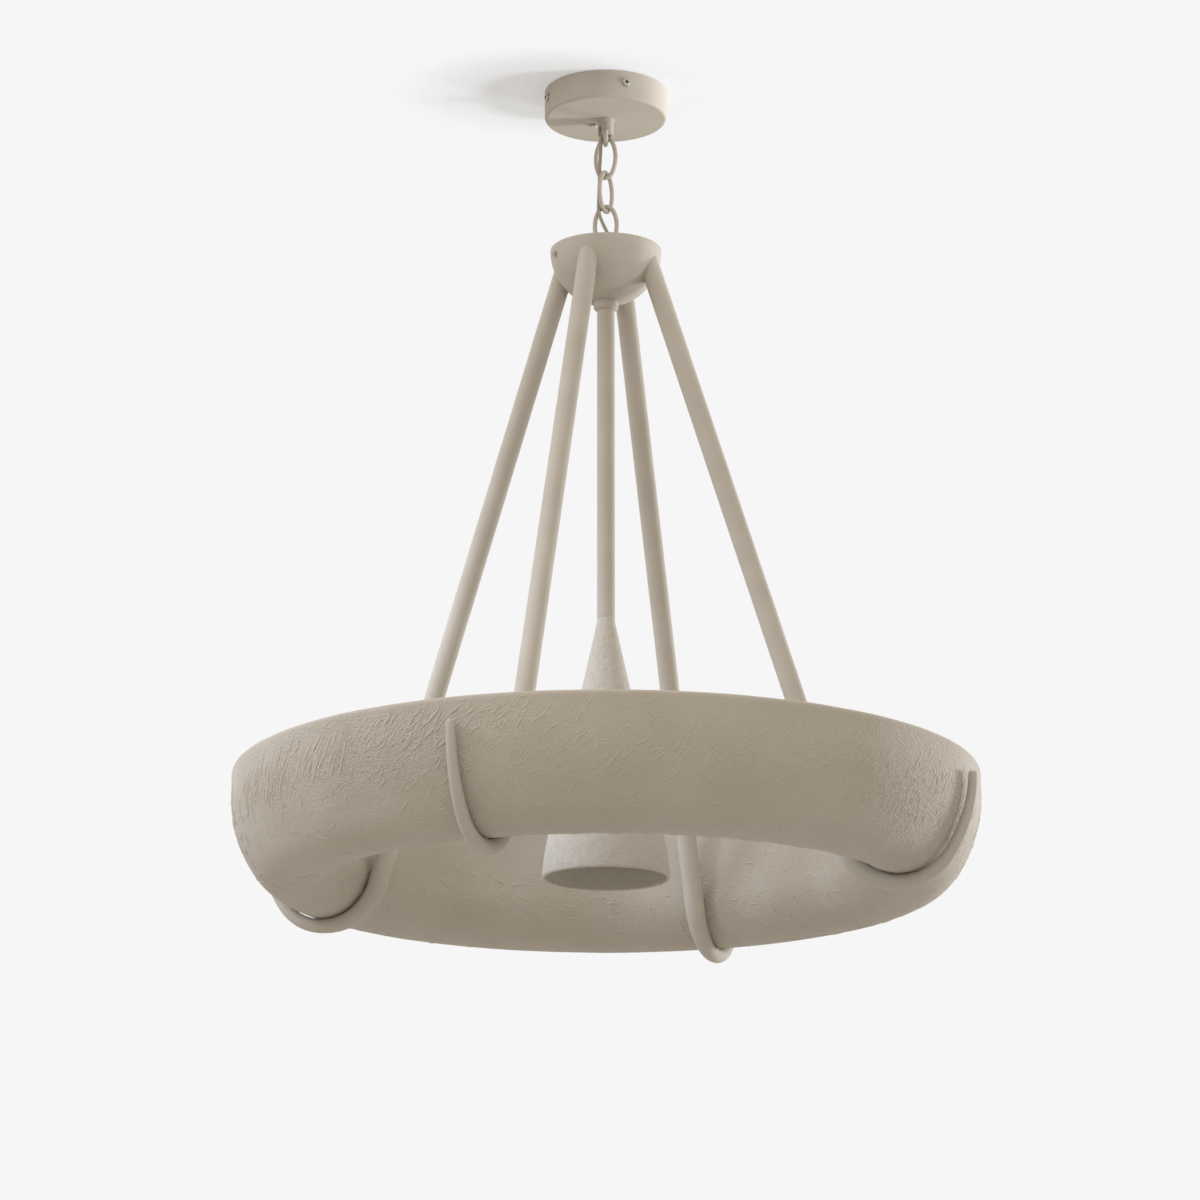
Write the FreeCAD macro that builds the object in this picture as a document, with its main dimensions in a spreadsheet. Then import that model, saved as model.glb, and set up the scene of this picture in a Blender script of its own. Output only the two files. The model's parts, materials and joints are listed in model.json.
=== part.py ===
"""Plaster drum chandelier: a canopy, three chain links and a hub that carries four bent arms.

A plaster drum rests in the hooks of the arms, and a stem under the hub ends in a cone shade.
Millimetres, +Z up. The origin is on the axis, in the ceiling plane. The front is -Y.
"""
import FreeCAD, Part
import math
import os
import re
import Sketcher
from FreeCAD import Placement, Rotation, Vector

doc = FreeCAD.newDocument("plaster_drum_chandelier")

# Driving dimensions, from the ceiling down.
SIZES = [
    ("canopy_radius", 60, "canopy, outside"),
    ("canopy_height", 28, "canopy, ceiling to underside"),
    ("canopy_wall", 1.5, "sheet of the canopy"),
    ("canopy_round", 3, "rounding of the canopy's lower edge"),
    ("plate_gap", 0.3, "room between ceiling plate and canopy"),
    ("plate_thickness", 2.5, "top of the ceiling plate"),
    ("plate_skirt", 17, "depth of the ceiling plate"),
    ("plate_wall", 3, "wall of the ceiling plate's skirt"),
    ("cable_entry_radius", 10, "hole for the house wiring"),
    ("slot_spacing", 70, "between the two ceiling screw slots"),
    ("slot_length", 14, "ceiling screw slot, end to end"),
    ("slot_width", 5.2, "ceiling screw slot, across"),
    ("side_screw_drop", 12, "canopy screws below the ceiling"),
    ("side_screw_turn", -71, "plan angle of the first canopy screw"),
    ("side_head_radius", 4, "canopy screw head"),
    ("side_head_height", 2.4, "canopy screw head"),
    ("side_shank_radius", 2, "canopy screw thread"),
    ("side_shank_length", 6, "canopy screw under its head"),
    ("socket_flats", 3, "hexagon socket across flats"),
    ("socket_depth", 1.5, "hexagon socket"),
    ("thread_gap", 0.05, "radial room in a thread or a bonded fit"),
    ("hole_gap", 0.3, "radial room in a clearance hole"),
    ("head_gap", 0.1, "under a flat head on a round wall"),
    ("nipple_radius", 5, "hollow threaded tube"),
    ("nipple_bore_radius", 3.5, "way for the cord"),
    ("nipple_rise", 8, "threaded tube above the canopy floor"),
    ("nipple_grip", 7, "threaded tube inside the collar"),
    ("washer_radius", 10, "washer in the canopy"),
    ("washer_thickness", 1.5, "washer in the canopy"),
    ("nut_flats", 14, "nut on the threaded tube"),
    ("nut_height", 4, "nut on the threaded tube"),
    ("earth_x", -11.7, "earth screw, to the left"),
    ("earth_y", 12.5, "earth screw, to the back"),
    ("earth_head_radius", 3.4, "earth screw head"),
    ("earth_head_height", 2.6, "earth screw head"),
    ("earth_shank_radius", 2, "earth screw thread"),
    ("earth_length", 11, "earth screw above the canopy's underside"),
    ("earth_nut_flats", 7, "nut of the earth screw"),
    ("earth_nut_height", 3.2, "nut of the earth screw"),
    ("terminal_x", 20, "terminal block, inner face"),
    ("terminal_length", 18, "terminal block along the cord"),
    ("terminal_width", 20, "terminal block across"),
    ("terminal_height", 12, "terminal block below the ceiling plate"),
    ("terminal_pitch", 10, "between the two terminal screws"),
    ("terminal_head_radius", 2.6, "terminal screw head"),
    ("terminal_head_height", 1.6, "terminal screw head"),
    ("collar_radius", 7.5, "collar of the upper loop"),
    ("collar_length", 16.7, "collar of the upper loop"),
    ("collar_flange_radius", 8.5, "flange at the collar's top"),
    ("collar_flange_height", 2.5, "flange at the collar's top"),
    ("collar_groove", 0.3, "depth of the turned grooves"),
    ("bail_wire", 5, "wire of both loops, diameter"),
    ("bail_radius", 7.5, "bend of both loops, at the wire's centre"),
    ("bail_drop", 1.2, "straight leg between collar and bend"),
    ("bail_root", 3, "leg sunk in the collar"),
    ("bail_turn", 88, "plan angle of the upper loop"),
    ("notch_width", 4.6, "notch where the cord leaves a collar"),
    ("notch_height", 8.5, "notch of the upper collar"),
    ("notch_turn", 212, "plan angle of the upper notch"),
    ("link_length", 44.5, "chain link, outside"),
    ("link_width", 26, "chain link, outside"),
    ("link_wire", 4.4, "chain wire, diameter"),
    ("link_end_radius", 8, "bend of a link's end, at the wire's centre"),
    ("link_gap", 0.45, "between two links at rest"),
    ("upper_turn", -28, "plan angle of the upper link"),
    ("middle_turn", 56, "plan angle of the middle link"),
    ("lower_turn", -8, "plan angle of the lower link"),
    ("hub_bail_turn", 82, "plan angle of the hub's loop"),
    ("hub_collar_radius", 8.5, "collar of the hub's loop"),
    ("hub_collar_length", 6.6, "collar of the hub's loop"),
    ("hub_notch_turn", 308, "plan angle of the hub's notch"),
    ("shank_radius", 6.5, "threaded shank of the hub's loop"),
    ("shank_length", 24, "threaded shank of the hub's loop"),
    ("hub_radius", 54, "hub bowl, outside"),
    ("hub_wall", 2.5, "wall of the hub bowl"),
    ("lid_recess", 1, "lid below the bowl's rim"),
    ("lid_thickness", 3, "lid of the hub"),
    ("lid_gap", 0.5, "room round the lid"),
    ("lid_tab_width", 14, "tab of the lid"),
    ("lid_tab_thickness", 3, "tab of the lid"),
    ("lid_tab_length", 13, "tab of the lid"),
    ("lid_screw_drop", 9.7, "lid screws below the bowl's rim"),
    ("lid_screw_turn", 203, "plan angle of the first lid screw"),
    ("lid_head_radius", 3, "lid screw head"),
    ("lid_head_height", 1.8, "lid screw head"),
    ("lid_shank_radius", 1.75, "lid screw thread"),
    ("lid_shank_length", 9, "lid screw under its head"),
    ("spider_radius", 42, "plate of the spider"),
    ("spider_plate", 4, "plate of the spider"),
    ("boss_radius", 16, "boss of the spider"),
    ("boss_length", 18, "boss of the spider"),
    ("shoulder_radius", 8.6, "stop for an arm on the spider"),
    ("shoulder_length", 5, "stop for an arm on the spider"),
    ("spigot_length", 22, "spider's spigot in an arm"),
    ("spider_nut_flats", 19, "nut under the spider"),
    ("spider_nut_height", 5, "nut under the spider"),
    ("arm_radius", 9.5, "arm tube, outside"),
    ("arm_wall", 2, "arm tube"),
    ("arm_turn", -22, "plan angle of the front right arm"),
    ("arm_hub_radius", 39, "arm's axis from the stem, at the bowl's rim"),
    ("drum_drop", 525, "from the bowl's rim down to the drum's top"),
    ("drum_radius", 350, "plaster drum, outside"),
    ("drum_height", 112.7, "plaster drum"),
    ("drum_straight", 23.2, "upright part of the drum's outer wall"),
    ("drum_arc", 119.3, "curve of the drum's outer wall"),
    ("drum_round", 46.7, "round underside of the drum"),
    ("drum_wall", 8, "wall of the hollow drum"),
    ("cover_recess", 2, "from the drum's top down to its cover ring"),
    ("cover_thickness", 5, "cover ring of the drum"),
    ("cover_gap", 0.2, "between the cover ring and the drum's walls"),
    ("seat_gap", 0.3, "between the drum's underside and a hook"),
    ("arm_gap", 1, "between the drum's inner side and a hook"),
    ("finger_gap", 0.6, "between the drum's wall and a finger of full thickness"),
    ("finger_tip_radius", 4, "tip of a finger"),
    ("saddle_wire_radius", 7, "thickness of a hook under the drum"),
    ("hook_straight", 40, "straight part of a hook"),
    ("hook_spigot_length", 30, "hook's spigot in an arm"),
    ("check_ring_radius", 12, "ring under the bowl"),
    ("check_ring_height", 7, "ring under the bowl"),
    ("check_ring_chamfer", 2.5, "lower edge of the ring"),
    ("stem_radius", 8.5, "stem tube, outside"),
    ("stem_wall", 1.5, "stem tube"),
    ("stem_length", 308.6, "stem tube"),
    ("stem_nipple_grip", 12, "threaded tube in the hub's shank"),
    ("stem_plug_length", 18, "threaded plug in a tube's end"),
    ("stem_plug_grip", 14, "threaded tube in the stem's plug"),
    ("neck_straight", 3.5, "straight neck of the cone"),
    ("cone_length", 251.4, "cone shade, neck to mouth"),
    ("cone_radius", 60, "mouth of the cone shade, outside"),
    ("cone_wall", 3, "wall of the cone shade"),
    ("cone_curve", 234, "curve of the cone near its mouth"),
    ("cone_mouth_tilt", 3.5, "lean of the wall at the mouth, degrees"),
    ("holder_drop", 100, "lampholder below the cone's neck"),
    ("holder_radius", 20, "lampholder, outside"),
    ("holder_wall", 2.5, "cap of the lampholder"),
    ("holder_cap_height", 16, "cap of the lampholder"),
    ("holder_floor", 8, "floor of the lampholder's body"),
    ("holder_body_height", 44, "body of the lampholder"),
    ("shell_radius", 13.35, "threaded shell for the bulb, inside"),
    ("shell_wall", 0.8, "threaded shell for the bulb"),
    ("shell_length", 30, "threaded shell for the bulb"),
    ("contact_radius", 5, "centre contact"),
    ("contact_height", 2.5, "centre contact"),
    ("contact_room", 1, "between the centre contact and the shell"),
    ("cord_radius", 1.7, "supply cord"),
]

# Sizes and places that follow from the driving dimensions.
WORKED_OUT = [
    ("plate_radius", "canopy_radius - canopy_wall - plate_gap"),
    ("canopy_floor", "canopy_wall - canopy_height"),
    ("collar_bottom", "-canopy_height - collar_length"),
    ("bail_centre", "collar_bottom - bail_drop"),
    ("bail_bar", "bail_centre - bail_radius"),
    ("link_half", "(link_length - link_wire) / 2"),
    ("link_side", "(link_width - link_wire) / 2"),
    ("link_end", "link_half - link_end_radius"),
    ("link_flank_radius", "(link_end^2 + link_side^2 - link_end_radius^2)"
     " / (2 * (link_side - link_end_radius))"),
    ("link_flank", "link_flank_radius - link_side"),
    ("link_join_x", "link_flank * link_end_radius / (link_flank_radius - link_end_radius)"),
    ("link_join_z", "link_end * link_flank_radius / (link_flank_radius - link_end_radius)"),
    ("link_pitch", "link_length - 2 * link_wire - link_gap"),
    ("upper_z", "bail_bar + bail_wire / 2 + link_wire / 2 + link_gap - link_half"),
    ("middle_z", "upper_z - link_pitch"),
    ("lower_z", "middle_z - link_pitch"),
    ("hub_bail_bar", "lower_z - link_half + link_wire / 2 + bail_wire / 2 + link_gap"),
    ("hub_bail_centre", "hub_bail_bar - bail_radius"),
    ("hub_collar_top", "hub_bail_centre - bail_drop"),
    ("spider_top", "hub_collar_top - hub_collar_length"),
    ("spider_bottom", "spider_top - boss_length"),
    ("shank_bore_radius", "nipple_radius + thread_gap"),
    ("lid_top", "spider_top + lid_thickness"),
    ("hub_rim", "lid_top + lid_recess"),
    ("hub_inner", "hub_radius - hub_wall"),
    ("lid_radius", "sqrt(hub_inner^2 - (hub_rim - spider_top)^2) - lid_gap"),
    ("lid_tab_face", "sqrt((hub_inner - lid_gap)^2 - (hub_rim - spider_top + lid_tab_length)^2"
     " - (lid_tab_width / 2)^2)"),
    ("lid_screw_seat", "sqrt(hub_radius^2 - (lid_screw_drop - lid_head_radius)^2) + head_gap"),
    ("drum_top", "hub_rim - drum_drop"),
    ("bend_z", "drum_top - drum_straight"),
    ("bend_r", "drum_radius - drum_arc"),
    ("round_z", "drum_top - drum_height + drum_round"),
    ("round_r", "bend_r + sqrt((drum_arc - drum_round)^2 - (bend_z - round_z)^2)"),
    ("round_turn", "atan2(bend_z - round_z; round_r - bend_r)"),
    ("drum_inner", "round_r - drum_round"),
    ("edge_z", "drum_top - drum_wall / 2"),
    ("cover_top", "drum_top - cover_recess"),
    ("cover_bottom", "cover_top - cover_thickness"),
    ("enter_radius", "drum_round + arm_gap + arm_radius"),
    ("saddle_radius", "drum_round + seat_gap + saddle_wire_radius"),
    ("leave_radius", "drum_round + finger_gap + saddle_wire_radius"),
    ("finger_radius", "drum_arc + finger_gap + saddle_wire_radius"),
    ("arm_run", "sqrt((round_r - arm_hub_radius)^2 + (hub_rim - round_z)^2)"),
    ("arm_tilt", "atan2(round_r - arm_hub_radius; hub_rim - round_z) - asin(enter_radius / arm_run)"),
    ("arm_length", "sqrt(arm_run^2 - enter_radius^2)"),
    ("arm_bore", "arm_radius - arm_wall"),
    ("spigot_radius", "arm_bore - thread_gap"),
    ("shoulder_top", "(hub_rim - spider_top + shoulder_radius * sin(arm_tilt)) / cos(arm_tilt)"),
    ("arm_start", "shoulder_top + shoulder_length"),
    ("arm_joint", "arm_length - hook_straight"),
    ("ring_bottom", "hub_rim - hub_radius - check_ring_height"),
    ("stem_bore", "stem_radius - stem_wall"),
    ("plug_radius", "stem_bore - thread_gap"),
    ("neck_z", "ring_bottom - stem_length"),
    ("cone_mouth", "neck_z - cone_length + cone_wall / 2"),
    ("cone_curve_r", "cone_radius - cone_curve * cos(cone_mouth_tilt)"),
    ("cone_curve_z", "cone_mouth - cone_curve * sin(cone_mouth_tilt)"),
    ("cone_shoulder", "neck_z - neck_straight"),
    ("cone_reach", "sqrt((stem_radius - cone_curve_r)^2 + (cone_shoulder - cone_curve_z)^2)"),
    ("cone_tilt", "90 deg - atan2(stem_radius - cone_curve_r; cone_shoulder - cone_curve_z)"
     " - acos(cone_curve / cone_reach)"),
    ("cone_inner", "cone_curve - cone_wall"),
    ("cone_bore_z", "cone_curve_z + cone_inner * sin(cone_tilt)"
     " + (cone_curve_r + cone_inner * cos(cone_tilt) - stem_bore) / tan(cone_tilt)"),
    ("holder_top", "neck_z - holder_drop"),
    ("holder_joint", "holder_top - holder_cap_height"),
    ("holder_seat", "holder_joint - holder_floor"),
    ("shell_top", "holder_seat - contact_height - contact_room"),
]

sheet = doc.addObject("Spreadsheet::Sheet", "size")
for row, (alias, number, note) in enumerate(SIZES, 1):
    sheet.set(f"A{row}", note)
    sheet.set(f"B{row}", str(number))
    sheet.setAlias(f"B{row}", alias)
for row, (alias, formula) in enumerate(WORKED_OUT, len(SIZES) + 1):
    sheet.set(f"B{row}", "=" + formula)
    sheet.setAlias(f"B{row}", alias)
doc.recompute()

ALIASES = [entry[0] for entry in SIZES + WORKED_OUT]
ALIAS_WORD = re.compile(r"\b(" + "|".join(ALIASES) + r")\b")
UP = Vector(0, 0, 1)
nodes = []


def cells(text):
    """An expression with each cell's alias written as the sheet's."""
    return ALIAS_WORD.sub(r"size.\1", text)


def value(text):
    """The number that an expression has now."""
    result = sheet.evalExpression(text)
    return float(getattr(result, "Value", result))


def bind(thing, **expressions):
    """Ties properties to the sheet; x, y, z and turn stand for the placement."""
    places = {"x": "Placement.Base.x", "y": "Placement.Base.y", "z": "Placement.Base.z",
              "turn": "Placement.Rotation.Angle"}
    for name, text in expressions.items():
        thing.setExpression(places.get(name, name), cells(text))
    return thing


def node(thing, label):
    """Names a finished piece."""
    thing.Label = label
    nodes.append(thing)
    return thing


def new_sketch(body, name, role):
    """An empty sketch on one of the body's own origin planes."""
    sketch = body.newObject("Sketcher::SketchObject", name)
    plane = [feature for feature in body.Origin.OriginFeatures if feature.Role == role][0]
    sketch.AttachmentSupport = [(plane, "")]
    sketch.MapMode = "FlatFace"
    return sketch


def pin(sketch, geometry, point, spot):
    """Ties one point of a sketch to two expressions."""
    axes = (("DistanceX", -2, spot[0]), ("DistanceY", -1, spot[1]))
    for kind, axis, text in axes:
        if text == "0":
            sketch.addConstraint(Sketcher.Constraint("PointOnObject", geometry, point, axis))
            continue
        constraint = Sketcher.Constraint(kind, -1, 1, geometry, point, value(text))
        index = sketch.addConstraint(constraint)
        sketch.setExpression(f"Constraints[{index}]", cells(text))


def draw(sketch, corners):
    """A closed outline. A corner is (x, y), or (x, y, centre, turn) where an arc leads on from it:
    turn is 1 for an arc to the left and -1 for one to the right."""
    spots = [Vector(value(corner[0]), value(corner[1]), 0) for corner in corners]
    ends = []
    for i, corner in enumerate(corners):
        here = spots[i]
        there = spots[(i + 1) % len(spots)]
        if len(corner) == 2:
            ends.append((sketch.addGeometry(Part.LineSegment(here, there), False), 1, 2))
            continue
        centre = Vector(value(corner[2][0]), value(corner[2][1]), 0)
        first, last = (here, there) if corner[3] > 0 else (there, here)
        start = math.atan2(first.y - centre.y, first.x - centre.x)
        stop = math.atan2(last.y - centre.y, last.x - centre.x)
        circle = Part.Circle(centre, UP, (here - centre).Length)
        arc = sketch.addGeometry(Part.ArcOfCircle(circle, start, stop), False)
        ends.append((arc, 1, 2) if corner[3] > 0 else (arc, 2, 1))
    for i, (geometry, begin, finish) in enumerate(ends):
        following = ends[(i + 1) % len(ends)]
        sketch.addConstraint(Sketcher.Constraint("Coincident", geometry, finish, following[0], following[1]))
        pin(sketch, geometry, begin, corners[i])
    for i, corner in enumerate(corners):
        if len(corner) == 4:
            chord = spots[(i + 1) % len(spots)] - spots[i]
            upright = abs(chord.x) > abs(chord.y)
            kind, text = ("DistanceY", corner[2][1]) if upright else ("DistanceX", corner[2][0])
            if text == "0":
                axis = -1 if upright else -2
                sketch.addConstraint(Sketcher.Constraint("PointOnObject", ends[i][0], 3, axis))
                continue
            index = sketch.addConstraint(Sketcher.Constraint(kind, -1, 1, ends[i][0], 3, value(text)))
            sketch.setExpression(f"Constraints[{index}]", cells(text))


def turned(label, corners):
    """A body turned about its own Z axis from an outline of (radius, height)."""
    body = doc.addObject("PartDesign::Body", label)
    sketch = new_sketch(body, label + "_outline", "XZ_Plane")
    draw(sketch, corners)
    turning = body.newObject("PartDesign::Revolution", label + "_turning")
    turning.Profile = sketch
    turning.ReferenceAxis = (sketch, ["V_Axis"])
    turning.Angle = 360
    return body


def tube(label, bore, radius, top, bottom):
    """A plain turned tube."""
    return turned(label, [(bore, top), (radius, top), (radius, bottom), (bore, bottom)])


def arm_spot(along, off):
    """A point beside the arm's axis, in the arm's own plane: off is towards the outside."""
    return (f"arm_hub_radius + ({along}) * sin(arm_tilt) + ({off}) * cos(arm_tilt)",
            f"hub_rim - ({along}) * cos(arm_tilt) + ({off}) * sin(arm_tilt)")


def along_arm(body, name, kind, corners):
    """Adds or cuts a form turned about the arm's axis from an outline of (along, off)."""
    sketch = new_sketch(body, name + "_outline", "XZ_Plane")
    axis_ends = [arm_spot("0", "0"), arm_spot("arm_length", "0")]
    axis_points = [Vector(value(x), value(z), 0) for x, z in axis_ends]
    axis = sketch.addGeometry(Part.LineSegment(*axis_points), True)
    for point, spot in enumerate(axis_ends, 1):
        pin(sketch, axis, point, spot)
    draw(sketch, [arm_spot(*corner) for corner in corners])
    feature = body.newObject("PartDesign::" + kind, name)
    feature.Profile = sketch
    feature.ReferenceAxis = (sketch, ["Axis0"])
    feature.Angle = 360
    return feature


def four_times(body, feature):
    """Repeats a feature for each arm."""
    doc.recompute()
    pattern = body.newObject("PartDesign::PolarPattern", feature.Name + "_pattern")
    pattern.Originals = [feature]
    z_axis = [item for item in body.Origin.OriginFeatures if item.Role == "Z_Axis"][0]
    pattern.Axis = (z_axis, [""])
    pattern.Angle = 360
    pattern.Occurrences = 4
    body.Tip = pattern


def cylinder(name, radius, length, **place):
    """An upright cylinder standing on its placement."""
    return bind(doc.addObject("Part::Cylinder", name), Radius=radius, Height=length, **place)


def outwards(angle):
    """The direction away from the axis at a plan angle in degrees."""
    return Vector(math.cos(math.radians(angle)), math.sin(math.radians(angle)), 0)


def spoke(name, radius, reach, angle, height):
    """A cylinder from the axis outwards at a plan angle."""
    rod = bind(doc.addObject("Part::Cylinder", name), Radius=radius, Height=reach)
    rod.Placement.Rotation = Rotation(UP, outwards(angle))
    return bind(rod, z=height)


def cut(label, base, tools):
    """The base without its tools."""
    result = base
    for i, tool in enumerate(tools):
        name = label if i == len(tools) - 1 else f"{label}_cut"
        step = doc.addObject("Part::Cut", name)
        step.Base = result
        step.Tool = tool
        result = step
    return result


def fuse(name, pieces):
    """Several pieces as one solid."""
    joined = doc.addObject("Part::MultiFuse", name)
    joined.Shapes = pieces
    return joined


def group(label, pieces):
    """Like fasteners that share one name."""
    together = doc.addObject("Part::Compound", label)
    together.Links = pieces
    return together


def nut(label, flats, height, bore, z):
    """A hexagon nut on the axis, standing on z."""
    block = doc.addObject("Part::Prism", label + "_block")
    block.Polygon = 6
    bind(block, Circumradius=f"({flats}) / sqrt(3)", Height=height, z=z)
    return cut(label, block, [cylinder(label + "_bore", bore, height, z=z)])


def socket_screw(label, head_radius, head_height, shank_radius, shank_length, socket=None):
    """A screw along its own Z axis, with the top of its head in the XY plane."""
    edge = f"({head_height}) / 3"
    foot = f"-({head_height}) - ({shank_length})"
    body = turned(label, [
        ("0", "0"),
        (f"{head_radius} - {edge}", "0", (f"{head_radius} - {edge}", f"-{edge}"), -1),
        (head_radius, f"-{edge}"),
        (head_radius, f"-({head_height})"),
        (shank_radius, f"-({head_height})"),
        (shank_radius, foot),
        ("0", foot),
    ])
    if socket:
        flats, depth = socket
        hexagon = new_sketch(body, label + "_hexagon", "XY_Plane")
        corner = f"({flats}) / sqrt(3)"
        half = f"({flats}) / 2"
        draw(hexagon, [(corner, "0"), (f"{corner} / 2", half), (f"-{corner} / 2", half),
                       (f"-{corner}", "0"), (f"-{corner} / 2", f"-{half}"), (f"{corner} / 2", f"-{half}")])
        pocket = body.newObject("PartDesign::Pocket", label + "_socket")
        pocket.Profile = hexagon
        bind(pocket, Length=depth)
    return body


def aim_outwards(screw, reach, angle, height):
    """Sets a screw into a round wall at a plan angle, its head outside."""
    screw.Placement.Rotation = Rotation(UP, outwards(angle))
    return bind(screw, x=f"({reach}) * cos({angle})", y=f"({reach}) * sin({angle})", z=height)


def bail(name, centre, root, upright):
    """The bent wire of a loop in the XZ plane: a half ring and two legs sunk in the collar."""
    ring = bind(doc.addObject("Part::Torus", name + "_bend"), Radius1="bail_radius", Radius2="bail_wire / 2")
    ring.Angle3 = 180
    ring.Placement.Rotation = Rotation(Vector(1, 0, 0), 90 * upright)
    bind(ring, z=centre)
    low = root if upright > 0 else centre
    legs = [cylinder(f"{name}_leg", "bail_wire / 2", "bail_drop + bail_root", x=f"{side}bail_radius", z=low)
            for side in ("", "-")]
    return [ring] + legs


def notch(name, angle, height, z):
    """A slot from the axis through one side of a collar."""
    slot = bind(doc.addObject("Part::Box", name), Length="collar_flange_radius + bail_wire",
                Width="notch_width", Height=height)
    turn = math.radians(angle)
    slot.Placement.Rotation = Rotation(UP, angle)
    return bind(slot, x=f"{math.sin(turn)} * notch_width / 2", y=f"{-math.cos(turn)} * notch_width / 2", z=z)


def rounded_tube(points, radius):
    """A round cord: straight runs joined by tangent arcs, each as large as its two runs allow."""
    edges = []
    radii = []
    last = points[0]
    for before, corner, after in zip(points, points[1:], points[2:]):
        back = before - corner
        ahead = after - corner
        half_turn = (math.pi - back.getAngle(ahead)) / 2
        trim = 0.45 * min(back.Length, ahead.Length)
        radii.append(trim / math.tan(half_turn))
        enter = corner + back.normalize() * trim
        leave = corner + ahead.normalize() * trim
        inwards = (back + ahead).normalize()
        centre = corner + inwards * (radii[-1] / math.cos(half_turn))
        edges.append(Part.LineSegment(last, enter).toShape())
        edges.append(Part.Arc(enter, centre - inwards * radii[-1], leave).toShape())
        last = leave
    edges.append(Part.LineSegment(last, points[-1]).toShape())
    path = Part.Wire(edges)
    direction = points[1] - points[0]
    section = Part.Wire([Part.makeCircle(radius, points[0], direction)])
    solid = path.makePipeShell([section], True, False)
    print("cord radii", [round(size, 1) for size in radii], "length", round(path.Length, 1))
    straight_volume = math.pi * radius**2 * path.Length
    print("cord volume", round(solid.Volume, 1), "section x length", round(straight_volume, 1))
    return solid


# Ceiling plate: a pressed cup that is screwed to the ceiling through two slots.
plate = turned("ceiling_plate_blank", [
    ("cable_entry_radius", "0"),
    ("plate_radius", "0"),
    ("plate_radius", "-plate_skirt"),
    ("plate_radius - plate_wall", "-plate_skirt"),
    ("plate_radius - plate_wall", "-plate_thickness"),
    ("cable_entry_radius", "-plate_thickness"),
])
slots = new_sketch(plate, "ceiling_slots", "XY_Plane")
for side in (-1, 1):
    middle = f"{side} * slot_spacing / 2"
    left = f"{middle} - (slot_length - slot_width) / 2"
    right = f"{middle} + (slot_length - slot_width) / 2"
    draw(slots, [(left, "-slot_width / 2"), (right, "-slot_width / 2", (right, "0"), 1),
                 (right, "slot_width / 2"), (left, "slot_width / 2", (left, "0"), 1)])
slotting = plate.newObject("PartDesign::Pocket", "ceiling_slotting")
slotting.Profile = slots
bind(slotting, Length="plate_thickness")
side_angles = [value("side_screw_turn") + 90 * i for i in range(4)]
tapped = [spoke("plate_tapping", "side_shank_radius + thread_gap", "canopy_radius", angle, "-side_screw_drop")
          for angle in side_angles]
node(cut("ceiling_plate", plate, tapped), "ceiling_plate")

# Canopy: a spun cup over the plate, held by four screws through its side.
cup = turned("canopy_cup_blank", [
    ("nipple_radius + hole_gap", "-canopy_height"),
    ("canopy_radius - canopy_round", "-canopy_height",
     ("canopy_radius - canopy_round", "canopy_round - canopy_height"), 1),
    ("canopy_radius", "canopy_round - canopy_height"),
    ("canopy_radius", "0"),
    ("canopy_radius - canopy_wall", "0"),
    ("canopy_radius - canopy_wall", "canopy_round - canopy_height",
     ("canopy_radius - canopy_round", "canopy_round - canopy_height"), -1),
    ("canopy_radius - canopy_round", "canopy_floor"),
    ("nipple_radius + hole_gap", "canopy_floor"),
])
drilled = [spoke("canopy_drilling", "side_shank_radius + hole_gap", "2 * canopy_radius", angle,
                 "-side_screw_drop")
           for angle in side_angles]
drilled.append(cylinder("earth_drilling", "earth_shank_radius + hole_gap", "canopy_height",
                        x="earth_x", y="earth_y", z="-canopy_height - canopy_wall"))
node(cut("canopy_cup", cup, drilled), "canopy_cup")

side_screws = []
for angle in side_angles:
    screw = socket_screw("canopy_side_screw", "side_head_radius", "side_head_height", "side_shank_radius",
                         "side_shank_length", ("socket_flats", "socket_depth"))
    head_top = "canopy_radius + head_gap + side_head_height"
    side_screws.append(aim_outwards(screw, head_top, angle, "-side_screw_drop"))
node(group("canopy_side_screws", side_screws), "canopy_side_screws")

# Upper loop: a turned collar with a bent bail, on a hollow threaded tube through the canopy.
groove_count = 5
collar_outline = [("nipple_radius + thread_gap", "collar_bottom"), ("collar_radius", "collar_bottom")]
groove_step = f"(collar_length - collar_flange_height) / {2 * groove_count + 2}"
for i in range(groove_count):
    for edge, depth in ((1, "0"), (1, "collar_groove"), (2, "collar_groove"), (2, "0")):
        height = f"collar_bottom + {2 * i + edge} * {groove_step}"
        collar_outline.append((f"collar_radius - {depth}", height))
collar_outline += [
    ("collar_radius", "-canopy_height - collar_flange_height"),
    ("collar_flange_radius", "-canopy_height - collar_flange_height"),
    ("collar_flange_radius", "-canopy_height"),
    ("nipple_radius + thread_gap", "-canopy_height"),
]
collar = turned("hang_collar", collar_outline)
hang_bail = bail("hang_bail", "bail_centre", "collar_bottom", -1)
hang_notch = notch("hang_notch", value("notch_turn - bail_turn"), "notch_height", "collar_bottom")
hang_loop = cut("hang_loop", fuse("hang_loop_blank", [collar] + hang_bail), [hang_notch])
node(bind(hang_loop, turn="bail_turn"), "hang_loop")
node(tube("hang_nipple", "nipple_bore_radius", "nipple_radius", "canopy_floor + nipple_rise",
          "-canopy_height - nipple_grip"), "hang_nipple")
node(tube("nipple_washer", "nipple_radius + hole_gap", "washer_radius", "canopy_floor + washer_thickness",
          "canopy_floor"), "nipple_washer")
node(nut("nipple_nut", "nut_flats", "nut_height", "nipple_radius + thread_gap",
         "canopy_floor + washer_thickness"), "nipple_nut")

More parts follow.
